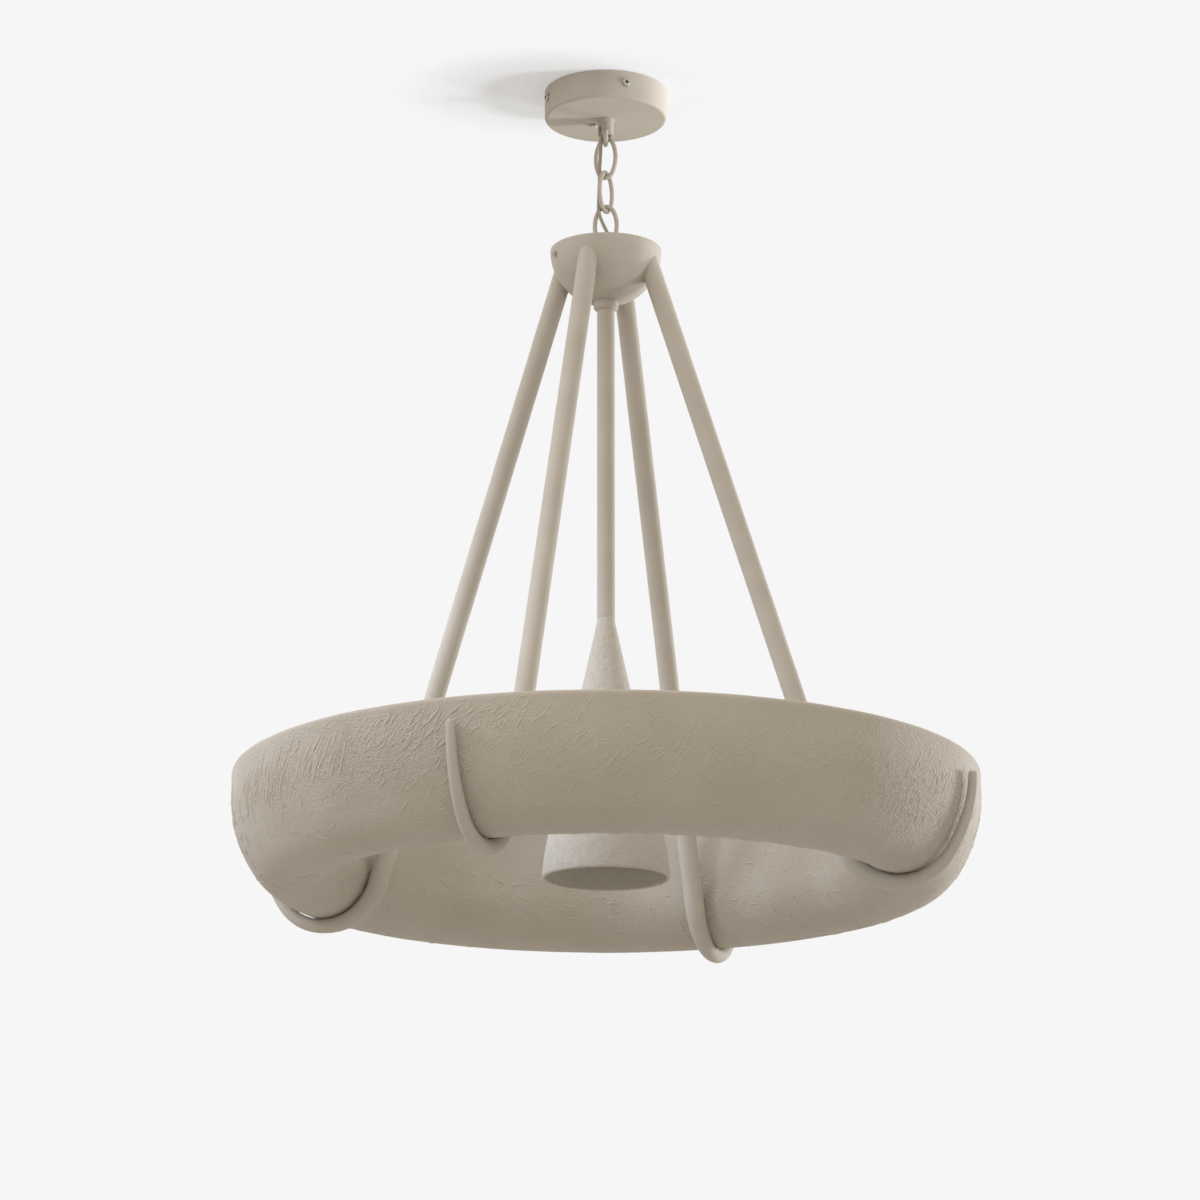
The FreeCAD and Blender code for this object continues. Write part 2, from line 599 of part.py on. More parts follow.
# Earth screw beside the collar, its head under the canopy and its nut inside.
earth = socket_screw("earth_screw", "earth_head_radius", "earth_head_height", "earth_shank_radius",
                     "earth_length")
earth.Placement.Rotation = Rotation(Vector(1, 0, 0), 180)
node(bind(earth, x="earth_x", y="earth_y", z="-canopy_height - earth_head_height"), "earth_screw")
earth_nut = nut("earth_nut", "earth_nut_flats", "earth_nut_height", "earth_shank_radius + thread_gap",
                "canopy_floor")
node(bind(earth_nut, x="earth_x", y="earth_y"), "earth_nut")

# Terminal block under the ceiling plate, where the cord meets the house wiring.
block = bind(doc.addObject("Part::Box", "terminal_block"), Length="terminal_length", Width="terminal_width",
             Height="terminal_height", x="terminal_x", y="-terminal_width / 2",
             z="-plate_thickness - terminal_height")
node(block, "terminal_block")
terminal_heads = []
for side in (-1, 1):
    spot = {"x": "terminal_x + terminal_length / 2", "y": f"{side} * terminal_pitch / 2",
            "z": "-plate_thickness - terminal_height - terminal_head_height"}
    terminal_heads.append(cylinder("terminal_screw", "terminal_head_radius", "terminal_head_height", **spot))
node(group("terminal_screws", terminal_heads), "terminal_screws")

# Chain: three bent oval links, each turned against the one above.
for name in ("upper", "middle", "lower"):
    link = doc.addObject("PartDesign::Body", "link_" + name)
    oval = new_sketch(link, name + "_oval", "XZ_Plane")
    draw(oval, [
        ("link_join_x", "-link_join_z", ("-link_flank", "0"), 1),
        ("link_join_x", "link_join_z", ("0", "link_end"), 1),
        ("-link_join_x", "link_join_z", ("link_flank", "0"), 1),
        ("-link_join_x", "-link_join_z", ("0", "-link_end"), 1),
    ])
    wire = new_sketch(link, name + "_wire", "XY_Plane")
    circle = Part.Circle(Vector(value("link_side"), 0, 0), UP, value("link_wire / 2"))
    round_wire = wire.addGeometry(circle, False)
    pin(wire, round_wire, 3, ("link_side", "0"))
    thickness = wire.addConstraint(Sketcher.Constraint("Radius", round_wire, value("link_wire / 2")))
    wire.setExpression(f"Constraints[{thickness}]", cells("link_wire / 2"))
    doc.recompute()
    bend = link.newObject("PartDesign::AdditivePipe", name + "_bend")
    bend.Profile = wire
    bend.Spine = (oval, [])
    link.Placement.Rotation = Rotation(UP, 0)
    node(bind(link, z=name + "_z", turn=name + "_turn"), "link_" + name)

# Hub loop: the same bail on a short collar, with a hollow threaded shank through the spider.
hub_collar = turned("hub_collar", [
    ("shank_bore_radius", "hub_collar_top"),
    ("hub_collar_radius", "hub_collar_top"),
    ("hub_collar_radius", "spider_top"),
    ("shank_radius", "spider_top"),
    ("shank_radius", "spider_top - shank_length"),
    ("shank_bore_radius", "spider_top - shank_length"),
])
hub_bail = bail("hub_bail", "hub_bail_centre", "hub_collar_top - bail_root", 1)
hub_notch = notch("hub_notch", value("hub_notch_turn - hub_bail_turn"), "hub_collar_length + bail_wire",
                  "spider_top")
hub_loop = cut("hub_loop", fuse("hub_loop_blank", [hub_collar] + hub_bail), [hub_notch])
node(bind(hub_loop, turn="hub_bail_turn"), "hub_loop")

# Spider: a cast plate and boss with four slanted spigots for the arms.
spider = turned("hub_spider", [
    ("shank_radius + thread_gap", "spider_top"),
    ("spider_radius", "spider_top"),
    ("spider_radius", "spider_top - spider_plate"),
    ("boss_radius", "spider_top - spider_plate"),
    ("boss_radius", "spider_bottom"),
    ("shank_radius + thread_gap", "spider_bottom"),
])
spigot = along_arm(spider, "spider_spigot", "Revolution", [
    ("shoulder_top", "0"),
    ("shoulder_top", "shoulder_radius"),
    ("arm_start", "shoulder_radius"),
    ("arm_start", "spigot_radius"),
    ("arm_start + spigot_length", "spigot_radius"),
    ("arm_start + spigot_length", "0"),
])
four_times(spider, spigot)
spider.Placement.Rotation = Rotation(UP, 0)
node(bind(spider, turn="arm_turn"), "hub_spider")
node(nut("spider_nut", "spider_nut_flats", "spider_nut_height", "shank_radius + thread_gap",
         "spider_bottom - spider_nut_height"), "spider_nut")

# Hub bowl: a spun hemisphere with a slanted hole for each arm and a hole for the stem's tube.
hole = "nipple_radius + hole_gap"
bowl = turned("hub_bowl_blank", [
    ("hub_radius", "hub_rim", ("0", "hub_rim"), -1),
    (hole, f"hub_rim - sqrt(hub_radius^2 - ({hole})^2)"),
    (hole, f"hub_rim - sqrt(hub_inner^2 - ({hole})^2)", ("0", "hub_rim"), 1),
    ("hub_inner", "hub_rim"),
])
arm_hole = along_arm(bowl, "arm_hole", "Groove", [
    ("0", "0"),
    ("0", "arm_radius + hole_gap"),
    ("2 * hub_radius", "arm_radius + hole_gap"),
    ("2 * hub_radius", "0"),
])
four_times(bowl, arm_hole)
bowl.Placement.Rotation = Rotation(UP, 0)
bind(bowl, turn="arm_turn")
lid_angles = [value("lid_screw_turn") + 180 * i for i in range(2)]
lid_screw_z = "hub_rim - lid_screw_drop"
lid_holes = [spoke("bowl_drilling", "lid_shank_radius + hole_gap", "2 * hub_radius", angle, lid_screw_z)
             for angle in lid_angles]
node(cut("hub_bowl", bowl, lid_holes), "hub_bowl")

# Lid: a disc on the spider with two bent tabs that take the screws through the bowl.
disc = tube("hub_lid_disc", "hub_collar_radius + lid_gap", "lid_radius", "lid_top", "spider_top")
tabs = []
for angle in (0, 180):
    tab = bind(doc.addObject("Part::Box", "hub_lid_tab"), Length="lid_tab_thickness", Width="lid_tab_width",
               Height="lid_tab_length + lid_thickness", z="spider_top - lid_tab_length")
    side = "1" if angle == 0 else "-1"
    tab.Placement.Rotation = Rotation(UP, angle)
    tabs.append(bind(tab, x=f"{side} * (lid_tab_face - lid_tab_thickness)", y=f"-{side} * lid_tab_width / 2"))
lid_taps = [spoke("lid_tapping", "lid_shank_radius + thread_gap", "hub_radius", angle, lid_screw_z)
            for angle in (0, 180)]
lid = cut("hub_lid", fuse("hub_lid_blank", [disc] + tabs), lid_taps)
lid.Placement.Rotation = Rotation(UP, 0)
node(bind(lid, turn="lid_screw_turn"), "hub_lid")
lid_screws = []
for angle in lid_angles:
    screw = socket_screw("lid_screw", "lid_head_radius", "lid_head_height", "lid_shank_radius",
                         "lid_shank_length", ("lid_head_radius", "lid_head_height / 2"))
    lid_screws.append(aim_outwards(screw, "lid_screw_seat + lid_head_height", angle, lid_screw_z))
node(group("lid_screws", lid_screws), "lid_screws")

# Arms: a straight tube on a spigot of the spider, and a forged hook that tapers up outside the drum.
ARMS = ("front_right", "back_right", "back_left", "front_left")


def hook_solid():
    """One hook in the XZ plane: a spigot, a straight part, the saddle under the drum and the finger."""
    tilt = math.radians(value("arm_tilt"))
    down = Vector(math.sin(tilt), 0, -math.cos(tilt))
    hub_point = Vector(value("arm_hub_radius"), 0, value("hub_rim"))
    joint = hub_point + down * value("arm_joint")
    straight = Part.makeCylinder(value("arm_radius"), value("hook_straight"), joint, down)
    spigot_top = joint - down * value("hook_spigot_length")
    inside = Part.makeCylinder(value("spigot_radius"), value("hook_spigot_length"), spigot_top, down)
    saddle = Vector(value("round_r"), 0, value("round_z"))
    bend = Vector(value("bend_r"), 0, value("bend_z"))
    enter = tilt - math.pi
    lowest = -math.pi / 2
    leave = -math.radians(value("round_turn"))
    thick = value("arm_radius")
    seat = value("saddle_wire_radius")
    tip = value("finger_tip_radius")
    enter_path = value("enter_radius")
    saddle_path = value("saddle_radius")
    leave_path = value("leave_radius")
    finger_path = value("finger_radius")
    to_foot = saddle_path * (leave - lowest)
    foot = seat + (tip - seat) * to_foot / (to_foot - finger_path * leave)
    sections = []

    def section(centre, path, angle, radius):
        middle = centre + Vector(math.cos(angle), 0, math.sin(angle)) * path
        forward = Vector(-math.sin(angle), 0, math.cos(angle))
        sections.append(Part.Wire([Part.makeCircle(radius, middle, forward)]))

    saddle_count = 6
    for i in range(saddle_count + 1):
        share = i / saddle_count
        section(saddle, enter_path + (saddle_path - enter_path) * share, enter + (lowest - enter) * share,
                thick + (seat - thick) * share)
    rise_count = 4
    for i in range(1, rise_count + 1):
        share = i / rise_count
        section(saddle, saddle_path + (leave_path - saddle_path) * share, lowest + (leave - lowest) * share,
                seat + (foot - seat) * share)
    finger_count = 4
    for i in range(1, finger_count + 1):
        share = i / finger_count
        section(bend, finger_path, leave * (1 - share), foot + (tip - foot) * share)
    forged = Part.makeLoft(sections, True, False)
    return straight.fuse([inside, forged]).removeSplitter()


hook_shape = hook_solid()
for i, name in enumerate(ARMS):
    arm = doc.addObject("PartDesign::Body", "arm_tube_" + name)
    along_arm(arm, name + "_tube", "Revolution", [
        ("arm_start", "arm_bore"),
        ("arm_start", "arm_radius"),
        ("arm_joint", "arm_radius"),
        ("arm_joint", "arm_bore"),
    ])
    arm.Placement.Rotation = Rotation(UP, 0)
    node(bind(arm, turn=f"arm_turn + {90 * i}"), "arm_tube_" + name)
    hook = doc.addObject("Part::Feature", "arm_hook_" + name)
    hook.Shape = hook_shape
    hook.Placement = Placement(Vector(0, 0, 0), Rotation(UP, value("arm_turn") + 90 * i))
    node(hook, "arm_hook_" + name)

# Drum: a hollow ring of cast plaster with upright walls, a round underside and round rims.
join_r = "bend_r + {0} * cos(round_turn)"
join_z = "bend_z - {0} * sin(round_turn)"
inside_arc = "(drum_arc - drum_wall)"
drum = turned("drum_shell", [
    ("drum_radius", "bend_z"),
    ("drum_radius", "edge_z", ("drum_radius - drum_wall / 2", "edge_z"), 1),
    ("drum_radius - drum_wall", "edge_z"),
    ("drum_radius - drum_wall", "bend_z", ("bend_r", "bend_z"), -1),
    (join_r.format(inside_arc), join_z.format(inside_arc), ("round_r", "round_z"), -1),
    ("drum_inner + drum_wall", "round_z"),
    ("drum_inner + drum_wall", "edge_z", ("drum_inner + drum_wall / 2", "edge_z"), 1),
    ("drum_inner", "edge_z"),
    ("drum_inner", "round_z", ("round_r", "round_z"), 1),
    (join_r.format("drum_arc"), join_z.format("drum_arc"), ("bend_r", "bend_z"), 1),
])
node(drum, "drum_shell")

# Cover: a flat plaster ring bonded between the drum's walls, just below the rims.
node(tube("drum_cover", "drum_inner + drum_wall + cover_gap", "drum_radius - drum_wall - cover_gap",
          "cover_top", "cover_bottom"), "drum_cover")

# Stem: a ring under the bowl and a tube, on a second threaded tube that screws into the hub's shank.
ring_top = "hub_rim - sqrt((hub_radius + head_gap)^2 - ({0})^2)"
nipple_top = "spider_top - shank_length + stem_nipple_grip"
node(tube("stem_nipple", "nipple_bore_radius", "nipple_radius", nipple_top, "ring_bottom - stem_plug_grip"),
     "stem_nipple")
node(turned("stem_check_ring", [
    (hole, "ring_bottom"),
    ("check_ring_radius - check_ring_chamfer", "ring_bottom"),
    ("check_ring_radius", "ring_bottom + check_ring_chamfer"),
    ("check_ring_radius", ring_top.format("check_ring_radius"), ("0", "hub_rim"), -1),
    (hole, ring_top.format(hole)),
]), "stem_check_ring")
node(tube("stem_tube", "stem_bore", "stem_radius", "ring_bottom", "neck_z"), "stem_tube")
node(tube("stem_plug", "nipple_radius + thread_gap", "plug_radius", "ring_bottom",
          "ring_bottom - stem_plug_length"), "stem_plug")
node(tube("neck_plug", "nipple_radius + thread_gap", "plug_radius", "neck_z + stem_plug_length",
          "neck_z - stem_plug_length"), "neck_plug")

# Cone shade: a spun trumpet on the neck plug, nearly upright at its mouth.
outer_r = "cone_curve_r + cone_curve * cos({0})"
outer_z = "cone_curve_z + cone_curve * sin({0})"
inner_r = "cone_curve_r + cone_inner * cos({0})"
inner_z = "cone_curve_z + cone_inner * sin({0})"
lip = "cone_curve - cone_wall / 2"
node(turned("cone_shade", [
    ("stem_bore", "neck_z"),
    ("stem_bore", "cone_bore_z"),
    (inner_r.format("cone_tilt"), inner_z.format("cone_tilt"), ("cone_curve_r", "cone_curve_z"), -1),
    (inner_r.format("cone_mouth_tilt"), inner_z.format("cone_mouth_tilt"),
     (f"cone_curve_r + ({lip}) * cos(cone_mouth_tilt)", f"cone_curve_z + ({lip}) * sin(cone_mouth_tilt)"), 1),
    (outer_r.format("cone_mouth_tilt"), outer_z.format("cone_mouth_tilt"),
     ("cone_curve_r", "cone_curve_z"), 1),
    (outer_r.format("cone_tilt"), outer_z.format("cone_tilt")),
    ("stem_radius", "cone_shoulder"),
    ("stem_radius", "neck_z"),
]), "cone_shade")

# Lampholder: cap, body, threaded shell and centre contact, on a threaded tube inside the cone.
rod_end = "holder_top - holder_wall - nut_height - washer_thickness"
node(tube("lamp_rod", "nipple_bore_radius", "nipple_radius", "neck_z - nipple_grip", rod_end), "lamp_rod")
node(turned("lampholder_cap", [
    (hole, "holder_top"),
    ("holder_radius", "holder_top"),
    ("holder_radius", "holder_joint"),
    ("holder_radius - holder_wall", "holder_joint"),
    ("holder_radius - holder_wall", "holder_top - holder_wall"),
    (hole, "holder_top - holder_wall"),
]), "lampholder_cap")
node(group("lampholder_nuts", [
    nut("holder_upper_nut", "nut_flats", "nut_height", "nipple_radius + thread_gap", "holder_top"),
    nut("holder_lower_nut", "nut_flats", "nut_height", "nipple_radius + thread_gap",
        "holder_top - holder_wall - nut_height"),
]), "lampholder_nuts")
node(turned("lampholder_body", [
    ("0", "holder_joint"),
    ("holder_radius", "holder_joint"),
    ("holder_radius", "holder_joint - holder_body_height"),
    ("shell_radius + shell_wall + thread_gap", "holder_joint - holder_body_height"),
    ("shell_radius + shell_wall + thread_gap", "holder_seat"),
    ("0", "holder_seat"),
]), "lampholder_body")
node(tube("lampholder_shell", "shell_radius", "shell_radius + shell_wall", "shell_top",
          "shell_top - shell_length"), "lampholder_shell")
node(cylinder("lampholder_contact", "contact_radius", "contact_height", z="holder_seat - contact_height"),
     "lampholder_contact")

# Cord: from the terminal block through the upper collar, beside the chain and into the hub's shank,
# then straight down the stem to the lampholder.
cord_end = -190
CHAIN_CORD_POINTS = [
    (20, 0, -9.5),
    (0, 0, -9.5),
    (0, 0, -32),
    (-4.6, -2.95, -46),
    (-4.9, -2.75, -60),
    (-6.2, -1.6, -80),
    (-6.3, -1.7, -94),
    (-7.0, -3.1, -113),
    (-7.35, -3.3, -128),
    (3.6, -5.0, -152),
    (3.95, -5.0, -160.5),
    (1.4, -2.1, -170),
    (0, 0, -182),
    (0, 0, cord_end),
]
chain_cord = doc.addObject("Part::Feature", "chain_cord")
chain_cord.Shape = rounded_tube([Vector(*point) for point in CHAIN_CORD_POINTS], value("cord_radius"))
node(chain_cord, "chain_cord")
node(cylinder("stem_cord", "cord_radius", f"{cord_end} - holder_joint", z="holder_joint"), "stem_cord")

doc.recompute()
for thing in doc.Objects:
    if "Invalid" in thing.State or "Error" in thing.State:
        raise RuntimeError(f"{thing.Label} failed: {thing.State}")
for piece in nodes:
    if piece.Shape.isNull() or not piece.Shape.isValid() or not piece.Shape.Solids:
        raise RuntimeError(f"{piece.Label} has no valid solid")

os.makedirs("parts", exist_ok=True)
for piece in nodes:
    piece.Shape.exportStep(f"parts/{piece.Label}.step")
print(len(nodes), "pieces")
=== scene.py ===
"""Plaster drum chandelier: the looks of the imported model, in metres and in its frame."""
import json
import math

import bmesh
import bpy
from mathutils import Matrix, Vector
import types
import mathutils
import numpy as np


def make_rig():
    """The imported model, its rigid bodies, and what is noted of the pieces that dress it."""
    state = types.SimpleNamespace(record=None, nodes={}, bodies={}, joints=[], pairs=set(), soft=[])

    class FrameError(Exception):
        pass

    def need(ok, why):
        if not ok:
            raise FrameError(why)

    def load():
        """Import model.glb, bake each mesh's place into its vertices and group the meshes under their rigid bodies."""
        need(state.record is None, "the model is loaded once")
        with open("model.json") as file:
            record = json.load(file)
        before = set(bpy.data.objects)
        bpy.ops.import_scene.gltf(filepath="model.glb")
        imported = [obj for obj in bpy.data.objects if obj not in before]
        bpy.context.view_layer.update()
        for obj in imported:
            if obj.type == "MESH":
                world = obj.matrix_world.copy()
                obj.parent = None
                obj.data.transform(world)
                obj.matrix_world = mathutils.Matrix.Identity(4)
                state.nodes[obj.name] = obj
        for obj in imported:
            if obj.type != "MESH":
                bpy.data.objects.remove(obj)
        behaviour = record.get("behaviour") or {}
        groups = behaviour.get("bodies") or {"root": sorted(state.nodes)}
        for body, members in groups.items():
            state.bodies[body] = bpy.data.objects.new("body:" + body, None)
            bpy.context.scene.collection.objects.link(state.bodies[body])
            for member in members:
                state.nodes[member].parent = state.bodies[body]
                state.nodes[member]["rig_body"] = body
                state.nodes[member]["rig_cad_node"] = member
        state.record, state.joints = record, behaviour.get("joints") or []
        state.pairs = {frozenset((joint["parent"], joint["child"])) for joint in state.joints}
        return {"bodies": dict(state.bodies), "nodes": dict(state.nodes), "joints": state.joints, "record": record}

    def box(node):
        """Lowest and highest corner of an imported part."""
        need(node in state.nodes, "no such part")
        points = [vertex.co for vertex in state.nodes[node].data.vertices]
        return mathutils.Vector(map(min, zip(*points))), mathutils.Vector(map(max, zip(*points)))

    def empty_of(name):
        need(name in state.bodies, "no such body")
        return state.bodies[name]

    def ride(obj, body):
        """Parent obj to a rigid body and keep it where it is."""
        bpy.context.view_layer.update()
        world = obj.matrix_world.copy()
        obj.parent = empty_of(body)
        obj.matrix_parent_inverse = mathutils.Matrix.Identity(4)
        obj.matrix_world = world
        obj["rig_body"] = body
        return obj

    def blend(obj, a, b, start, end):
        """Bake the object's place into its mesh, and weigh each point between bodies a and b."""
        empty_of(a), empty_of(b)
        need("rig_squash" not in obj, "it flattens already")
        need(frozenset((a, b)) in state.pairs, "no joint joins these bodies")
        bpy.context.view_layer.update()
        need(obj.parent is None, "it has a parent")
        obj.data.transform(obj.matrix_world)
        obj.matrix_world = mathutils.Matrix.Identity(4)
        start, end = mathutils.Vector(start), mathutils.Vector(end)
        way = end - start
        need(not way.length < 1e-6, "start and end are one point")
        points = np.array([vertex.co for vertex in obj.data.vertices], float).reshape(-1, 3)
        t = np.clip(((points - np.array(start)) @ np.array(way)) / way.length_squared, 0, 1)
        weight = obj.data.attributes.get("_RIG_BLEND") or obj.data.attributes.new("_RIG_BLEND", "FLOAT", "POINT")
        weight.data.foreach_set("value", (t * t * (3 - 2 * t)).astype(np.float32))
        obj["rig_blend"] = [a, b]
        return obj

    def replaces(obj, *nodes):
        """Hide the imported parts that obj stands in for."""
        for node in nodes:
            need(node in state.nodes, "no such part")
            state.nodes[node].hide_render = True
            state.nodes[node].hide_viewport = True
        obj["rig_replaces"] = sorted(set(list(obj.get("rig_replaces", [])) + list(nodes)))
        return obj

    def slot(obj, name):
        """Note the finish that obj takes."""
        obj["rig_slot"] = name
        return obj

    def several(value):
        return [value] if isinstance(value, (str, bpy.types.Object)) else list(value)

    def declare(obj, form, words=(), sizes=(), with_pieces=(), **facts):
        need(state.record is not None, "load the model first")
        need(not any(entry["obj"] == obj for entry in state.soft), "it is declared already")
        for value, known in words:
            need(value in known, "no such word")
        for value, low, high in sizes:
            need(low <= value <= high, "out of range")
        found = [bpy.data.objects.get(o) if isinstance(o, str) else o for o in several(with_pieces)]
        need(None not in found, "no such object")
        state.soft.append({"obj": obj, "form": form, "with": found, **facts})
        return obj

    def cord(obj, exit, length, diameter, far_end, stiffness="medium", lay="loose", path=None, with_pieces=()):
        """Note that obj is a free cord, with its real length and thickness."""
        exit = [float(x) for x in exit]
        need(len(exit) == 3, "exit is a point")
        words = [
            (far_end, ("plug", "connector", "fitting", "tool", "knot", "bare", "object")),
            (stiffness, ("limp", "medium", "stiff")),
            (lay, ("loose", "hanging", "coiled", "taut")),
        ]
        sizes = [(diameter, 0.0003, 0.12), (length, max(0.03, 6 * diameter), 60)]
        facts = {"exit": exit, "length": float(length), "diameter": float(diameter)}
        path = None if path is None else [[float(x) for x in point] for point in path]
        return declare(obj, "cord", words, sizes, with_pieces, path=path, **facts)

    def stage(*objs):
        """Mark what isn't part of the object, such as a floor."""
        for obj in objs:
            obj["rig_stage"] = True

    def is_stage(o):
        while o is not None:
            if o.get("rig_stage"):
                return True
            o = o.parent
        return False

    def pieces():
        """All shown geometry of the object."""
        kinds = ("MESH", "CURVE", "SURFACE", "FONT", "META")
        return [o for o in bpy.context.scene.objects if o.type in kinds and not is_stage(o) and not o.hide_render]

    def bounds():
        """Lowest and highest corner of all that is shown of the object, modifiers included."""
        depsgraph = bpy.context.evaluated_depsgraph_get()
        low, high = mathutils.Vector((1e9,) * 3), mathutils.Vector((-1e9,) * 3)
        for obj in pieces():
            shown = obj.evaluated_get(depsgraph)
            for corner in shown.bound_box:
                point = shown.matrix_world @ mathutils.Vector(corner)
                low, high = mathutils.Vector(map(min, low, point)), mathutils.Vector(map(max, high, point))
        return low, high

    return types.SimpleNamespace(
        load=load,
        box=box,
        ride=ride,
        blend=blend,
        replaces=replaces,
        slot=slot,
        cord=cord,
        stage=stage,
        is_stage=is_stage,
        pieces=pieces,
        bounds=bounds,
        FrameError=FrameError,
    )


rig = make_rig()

bpy.context.scene.view_settings.view_transform = "Standard"
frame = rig.load()
cad_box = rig.bounds()

# Canopy: a spun steel cup over a zinc-plated ceiling plate. The cup has the same matte mineral paint
# as all the metal below it: a warm greige, faintly mottled, with a grain that can be felt.
GREIGE = (0.410, 0.364, 0.298, 1)
GREIGE_PALE = (0.545, 0.493, 0.422, 1)
NICKEL = (0.42, 0.39, 0.34, 1)
ZINC = (0.46, 0.46, 0.45, 1)
# Colour of the painted shade in the hollows of bare metal, such as screw sockets.
SOCKET_PAINTED_SHADE = (0.02, 0.018, 0.015, 1)
SOCKET_SHADE_REACH = 0.003


def fill(tree, node, inputs):
    """Gives a node's inputs their values, or links them to sockets."""
    for key, given in inputs.items():
        if isinstance(given, bpy.types.NodeSocket):
            tree.links.new(given, node.inputs[key])
        else:
            node.inputs[key].default_value = given


def add(tree, kind, inputs=None, **settings):
    """A new node of a tree, with its settings and inputs."""
    made = tree.nodes.new(kind)
    for name, setting in settings.items():
        setattr(made, name, setting)
    fill(tree, made, inputs or {})
    return made


def calculator(tree):
    """A function that adds one math node to a tree and gives its result."""
    def calc(operation, *values):
        return add(tree, "ShaderNodeMath", dict(enumerate(values)), operation=operation).outputs[0]
    return calc


def noise(tree, scale, detail, **inputs):
    """The level of a noise texture."""
    return add(tree, "ShaderNodeTexNoise", {"Scale": scale, "Detail": detail, **inputs}).outputs["Fac"]


def mapped(tree, level, start, stop, low=0.0, high=1.0, **settings):
    """A level taken from one range to another, and kept inside it."""
    limits = {0: level, 1: start, 2: stop, 3: low, 4: high}
    return add(tree, "ShaderNodeMapRange", limits, **settings).outputs[0]


def mixed(tree, share, first, second):
    """A colour between two others."""
    return add(tree, "ShaderNodeMix", {0: share, 6: first, 7: second}, data_type="RGBA").outputs[2]


def bumped(tree, height, relief, **inputs):
    """The normals of a surface with a relief, given in metres."""
    return add(tree, "ShaderNodeBump", {"Height": height, "Distance": relief, **inputs}).outputs["Normal"]


def new_material(name):
    """A new material, with its node tree and its shader."""
    material = bpy.data.materials.new(name)
    material.use_nodes = True
    return material, material.node_tree, material.node_tree.nodes["Principled BSDF"]


def object_place(tree):
    """The coordinates of the object itself."""
    return add(tree, "ShaderNodeTexCoord").outputs["Object"]


def paler(colour, times, plus=0.0):
    """A lighter shade of a colour."""
    return tuple(min(1, part * times + plus) for part in colour[:3]) + (1,)


def open_group(name, kind, takes, gives):
    """A new node group with its sockets, given as (name, kind, value)."""
    tree = bpy.data.node_groups.new(name, kind)
    for direction, sockets in (("INPUT", takes), ("OUTPUT", gives)):
        for label, socket_kind, *value in sockets:
            socket_type = "NodeSocket" + socket_kind
            socket = tree.interface.new_socket(label, in_out=direction, socket_type=socket_type)
            if value:
                socket.default_value = value[0]
    return tree, tree.nodes.new("NodeGroupInput").outputs, tree.nodes.new("NodeGroupOutput").inputs


def mineral_grain_group():
    """Paint with sand in it: slow mottling under a fine and a coarser grain."""
    takes = [("Vector", "Vector"), ("Grain", "Float"), ("Mottle", "Float")]
    gives = [("Tone", "Float"), ("Height", "Float"), ("Roughness", "Float")]
    tree, given, result = open_group("mineral_grain", "ShaderNodeTree", takes, gives)
    calc = calculator(tree)
    coarse_scale = 0.3
    fine_share = 0.6
    grain_tone = 0.45
    mottle_tone = 0.75
    darker = 0.1
    least_rough = 0.68
    rough_range = 0.2
    slow = noise(tree, given["Mottle"], detail=4.0, Vector=given["Vector"])
    fine = noise(tree, given["Grain"], detail=3.0, Vector=given["Vector"], Roughness=0.6)
    coarse = noise(tree, calc("MULTIPLY", given["Grain"], coarse_scale), detail=2.0, Vector=given["Vector"])
    grain = calc("MULTIPLY_ADD", fine, fine_share, calc("MULTIPLY", coarse, 1 - fine_share))
    tone = calc("MULTIPLY_ADD", grain, grain_tone, calc("MULTIPLY", slow, mottle_tone))
    tree.links.new(calc("SUBTRACT", tone, darker), result["Tone"])
    tree.links.new(grain, result["Height"])
    tree.links.new(calc("MULTIPLY_ADD", fine, rough_range, least_rough), result["Roughness"])
    return tree


MINERAL_GRAIN = mineral_grain_group()


def mineral_paint(name, dark, pale, grain, mottle, relief):
    """Matte paint with a grain: relief is the height of the grain in metres."""
    material, tree, shader = new_material(name)
    paint = add(tree, "ShaderNodeGroup", {"Vector": object_place(tree), "Grain": grain, "Mottle": mottle},
                node_tree=MINERAL_GRAIN)
    fill(tree, shader, {
        "Base Color": mixed(tree, paint.outputs["Tone"], dark, pale),
        "Roughness": paint.outputs["Roughness"],
        "Normal": bumped(tree, paint.outputs["Height"], relief),
        "Specular IOR Level": 0.3,
    })
    return material


def plated(name, colour, roughness):
    """Bare metal: slightly cloudy, with painted shade that darkens it in hollows, as in a screw's socket."""
    material, tree, shader = new_material(name)
    cloud = noise(tree, scale=240.0, detail=5.0, Vector=object_place(tree))
    tint = mixed(tree, cloud, colour, paler(colour, 1.25))
    # Painted shade: ambient occlusion darkens the metal towards the socket colour in hollows.
    shade_ao = add(tree, "ShaderNodeAmbientOcclusion", {"Distance": SOCKET_SHADE_REACH}, only_local=True, samples=8)
    unshaded_share = mapped(tree, shade_ao.outputs["AO"], start=0.35, stop=0.9)
    fill(tree, shader, {
        "Base Color": mixed(tree, unshaded_share, SOCKET_PAINTED_SHADE, tint),
        "Roughness": mapped(tree, cloud, 0.0, 1.0, low=roughness - 0.08, high=roughness + 0.12),
        "Normal": bumped(tree, cloud, relief=0.00004),
        "Metallic": 1.0,
    })
    return material


def finish_nodes(material, *names):
    """Gives CAD nodes their finish."""
    for name in names:
        slots = frame["nodes"][name].data.materials
        slots.clear()
        slots.append(material)


canopy_paint = mineral_paint("canopy_paint", GREIGE, GREIGE_PALE, grain=1900, mottle=22, relief=0.00008)
nickel = plated("nickel_plating", NICKEL, roughness=0.36)
zinc_plate = plated("zinc_plating", ZINC, roughness=0.42)
finish_nodes(canopy_paint, "canopy_cup")
finish_nodes(nickel, "canopy_side_screws", "earth_screw")
finish_nodes(zinc_plate, "ceiling_plate", "hang_nipple", "nipple_washer", "nipple_nut", "earth_nut",
             "terminal_screws", "spider_nut", "stem_nipple", "stem_plug", "neck_plug", "lamp_rod",
             "lampholder_nuts")

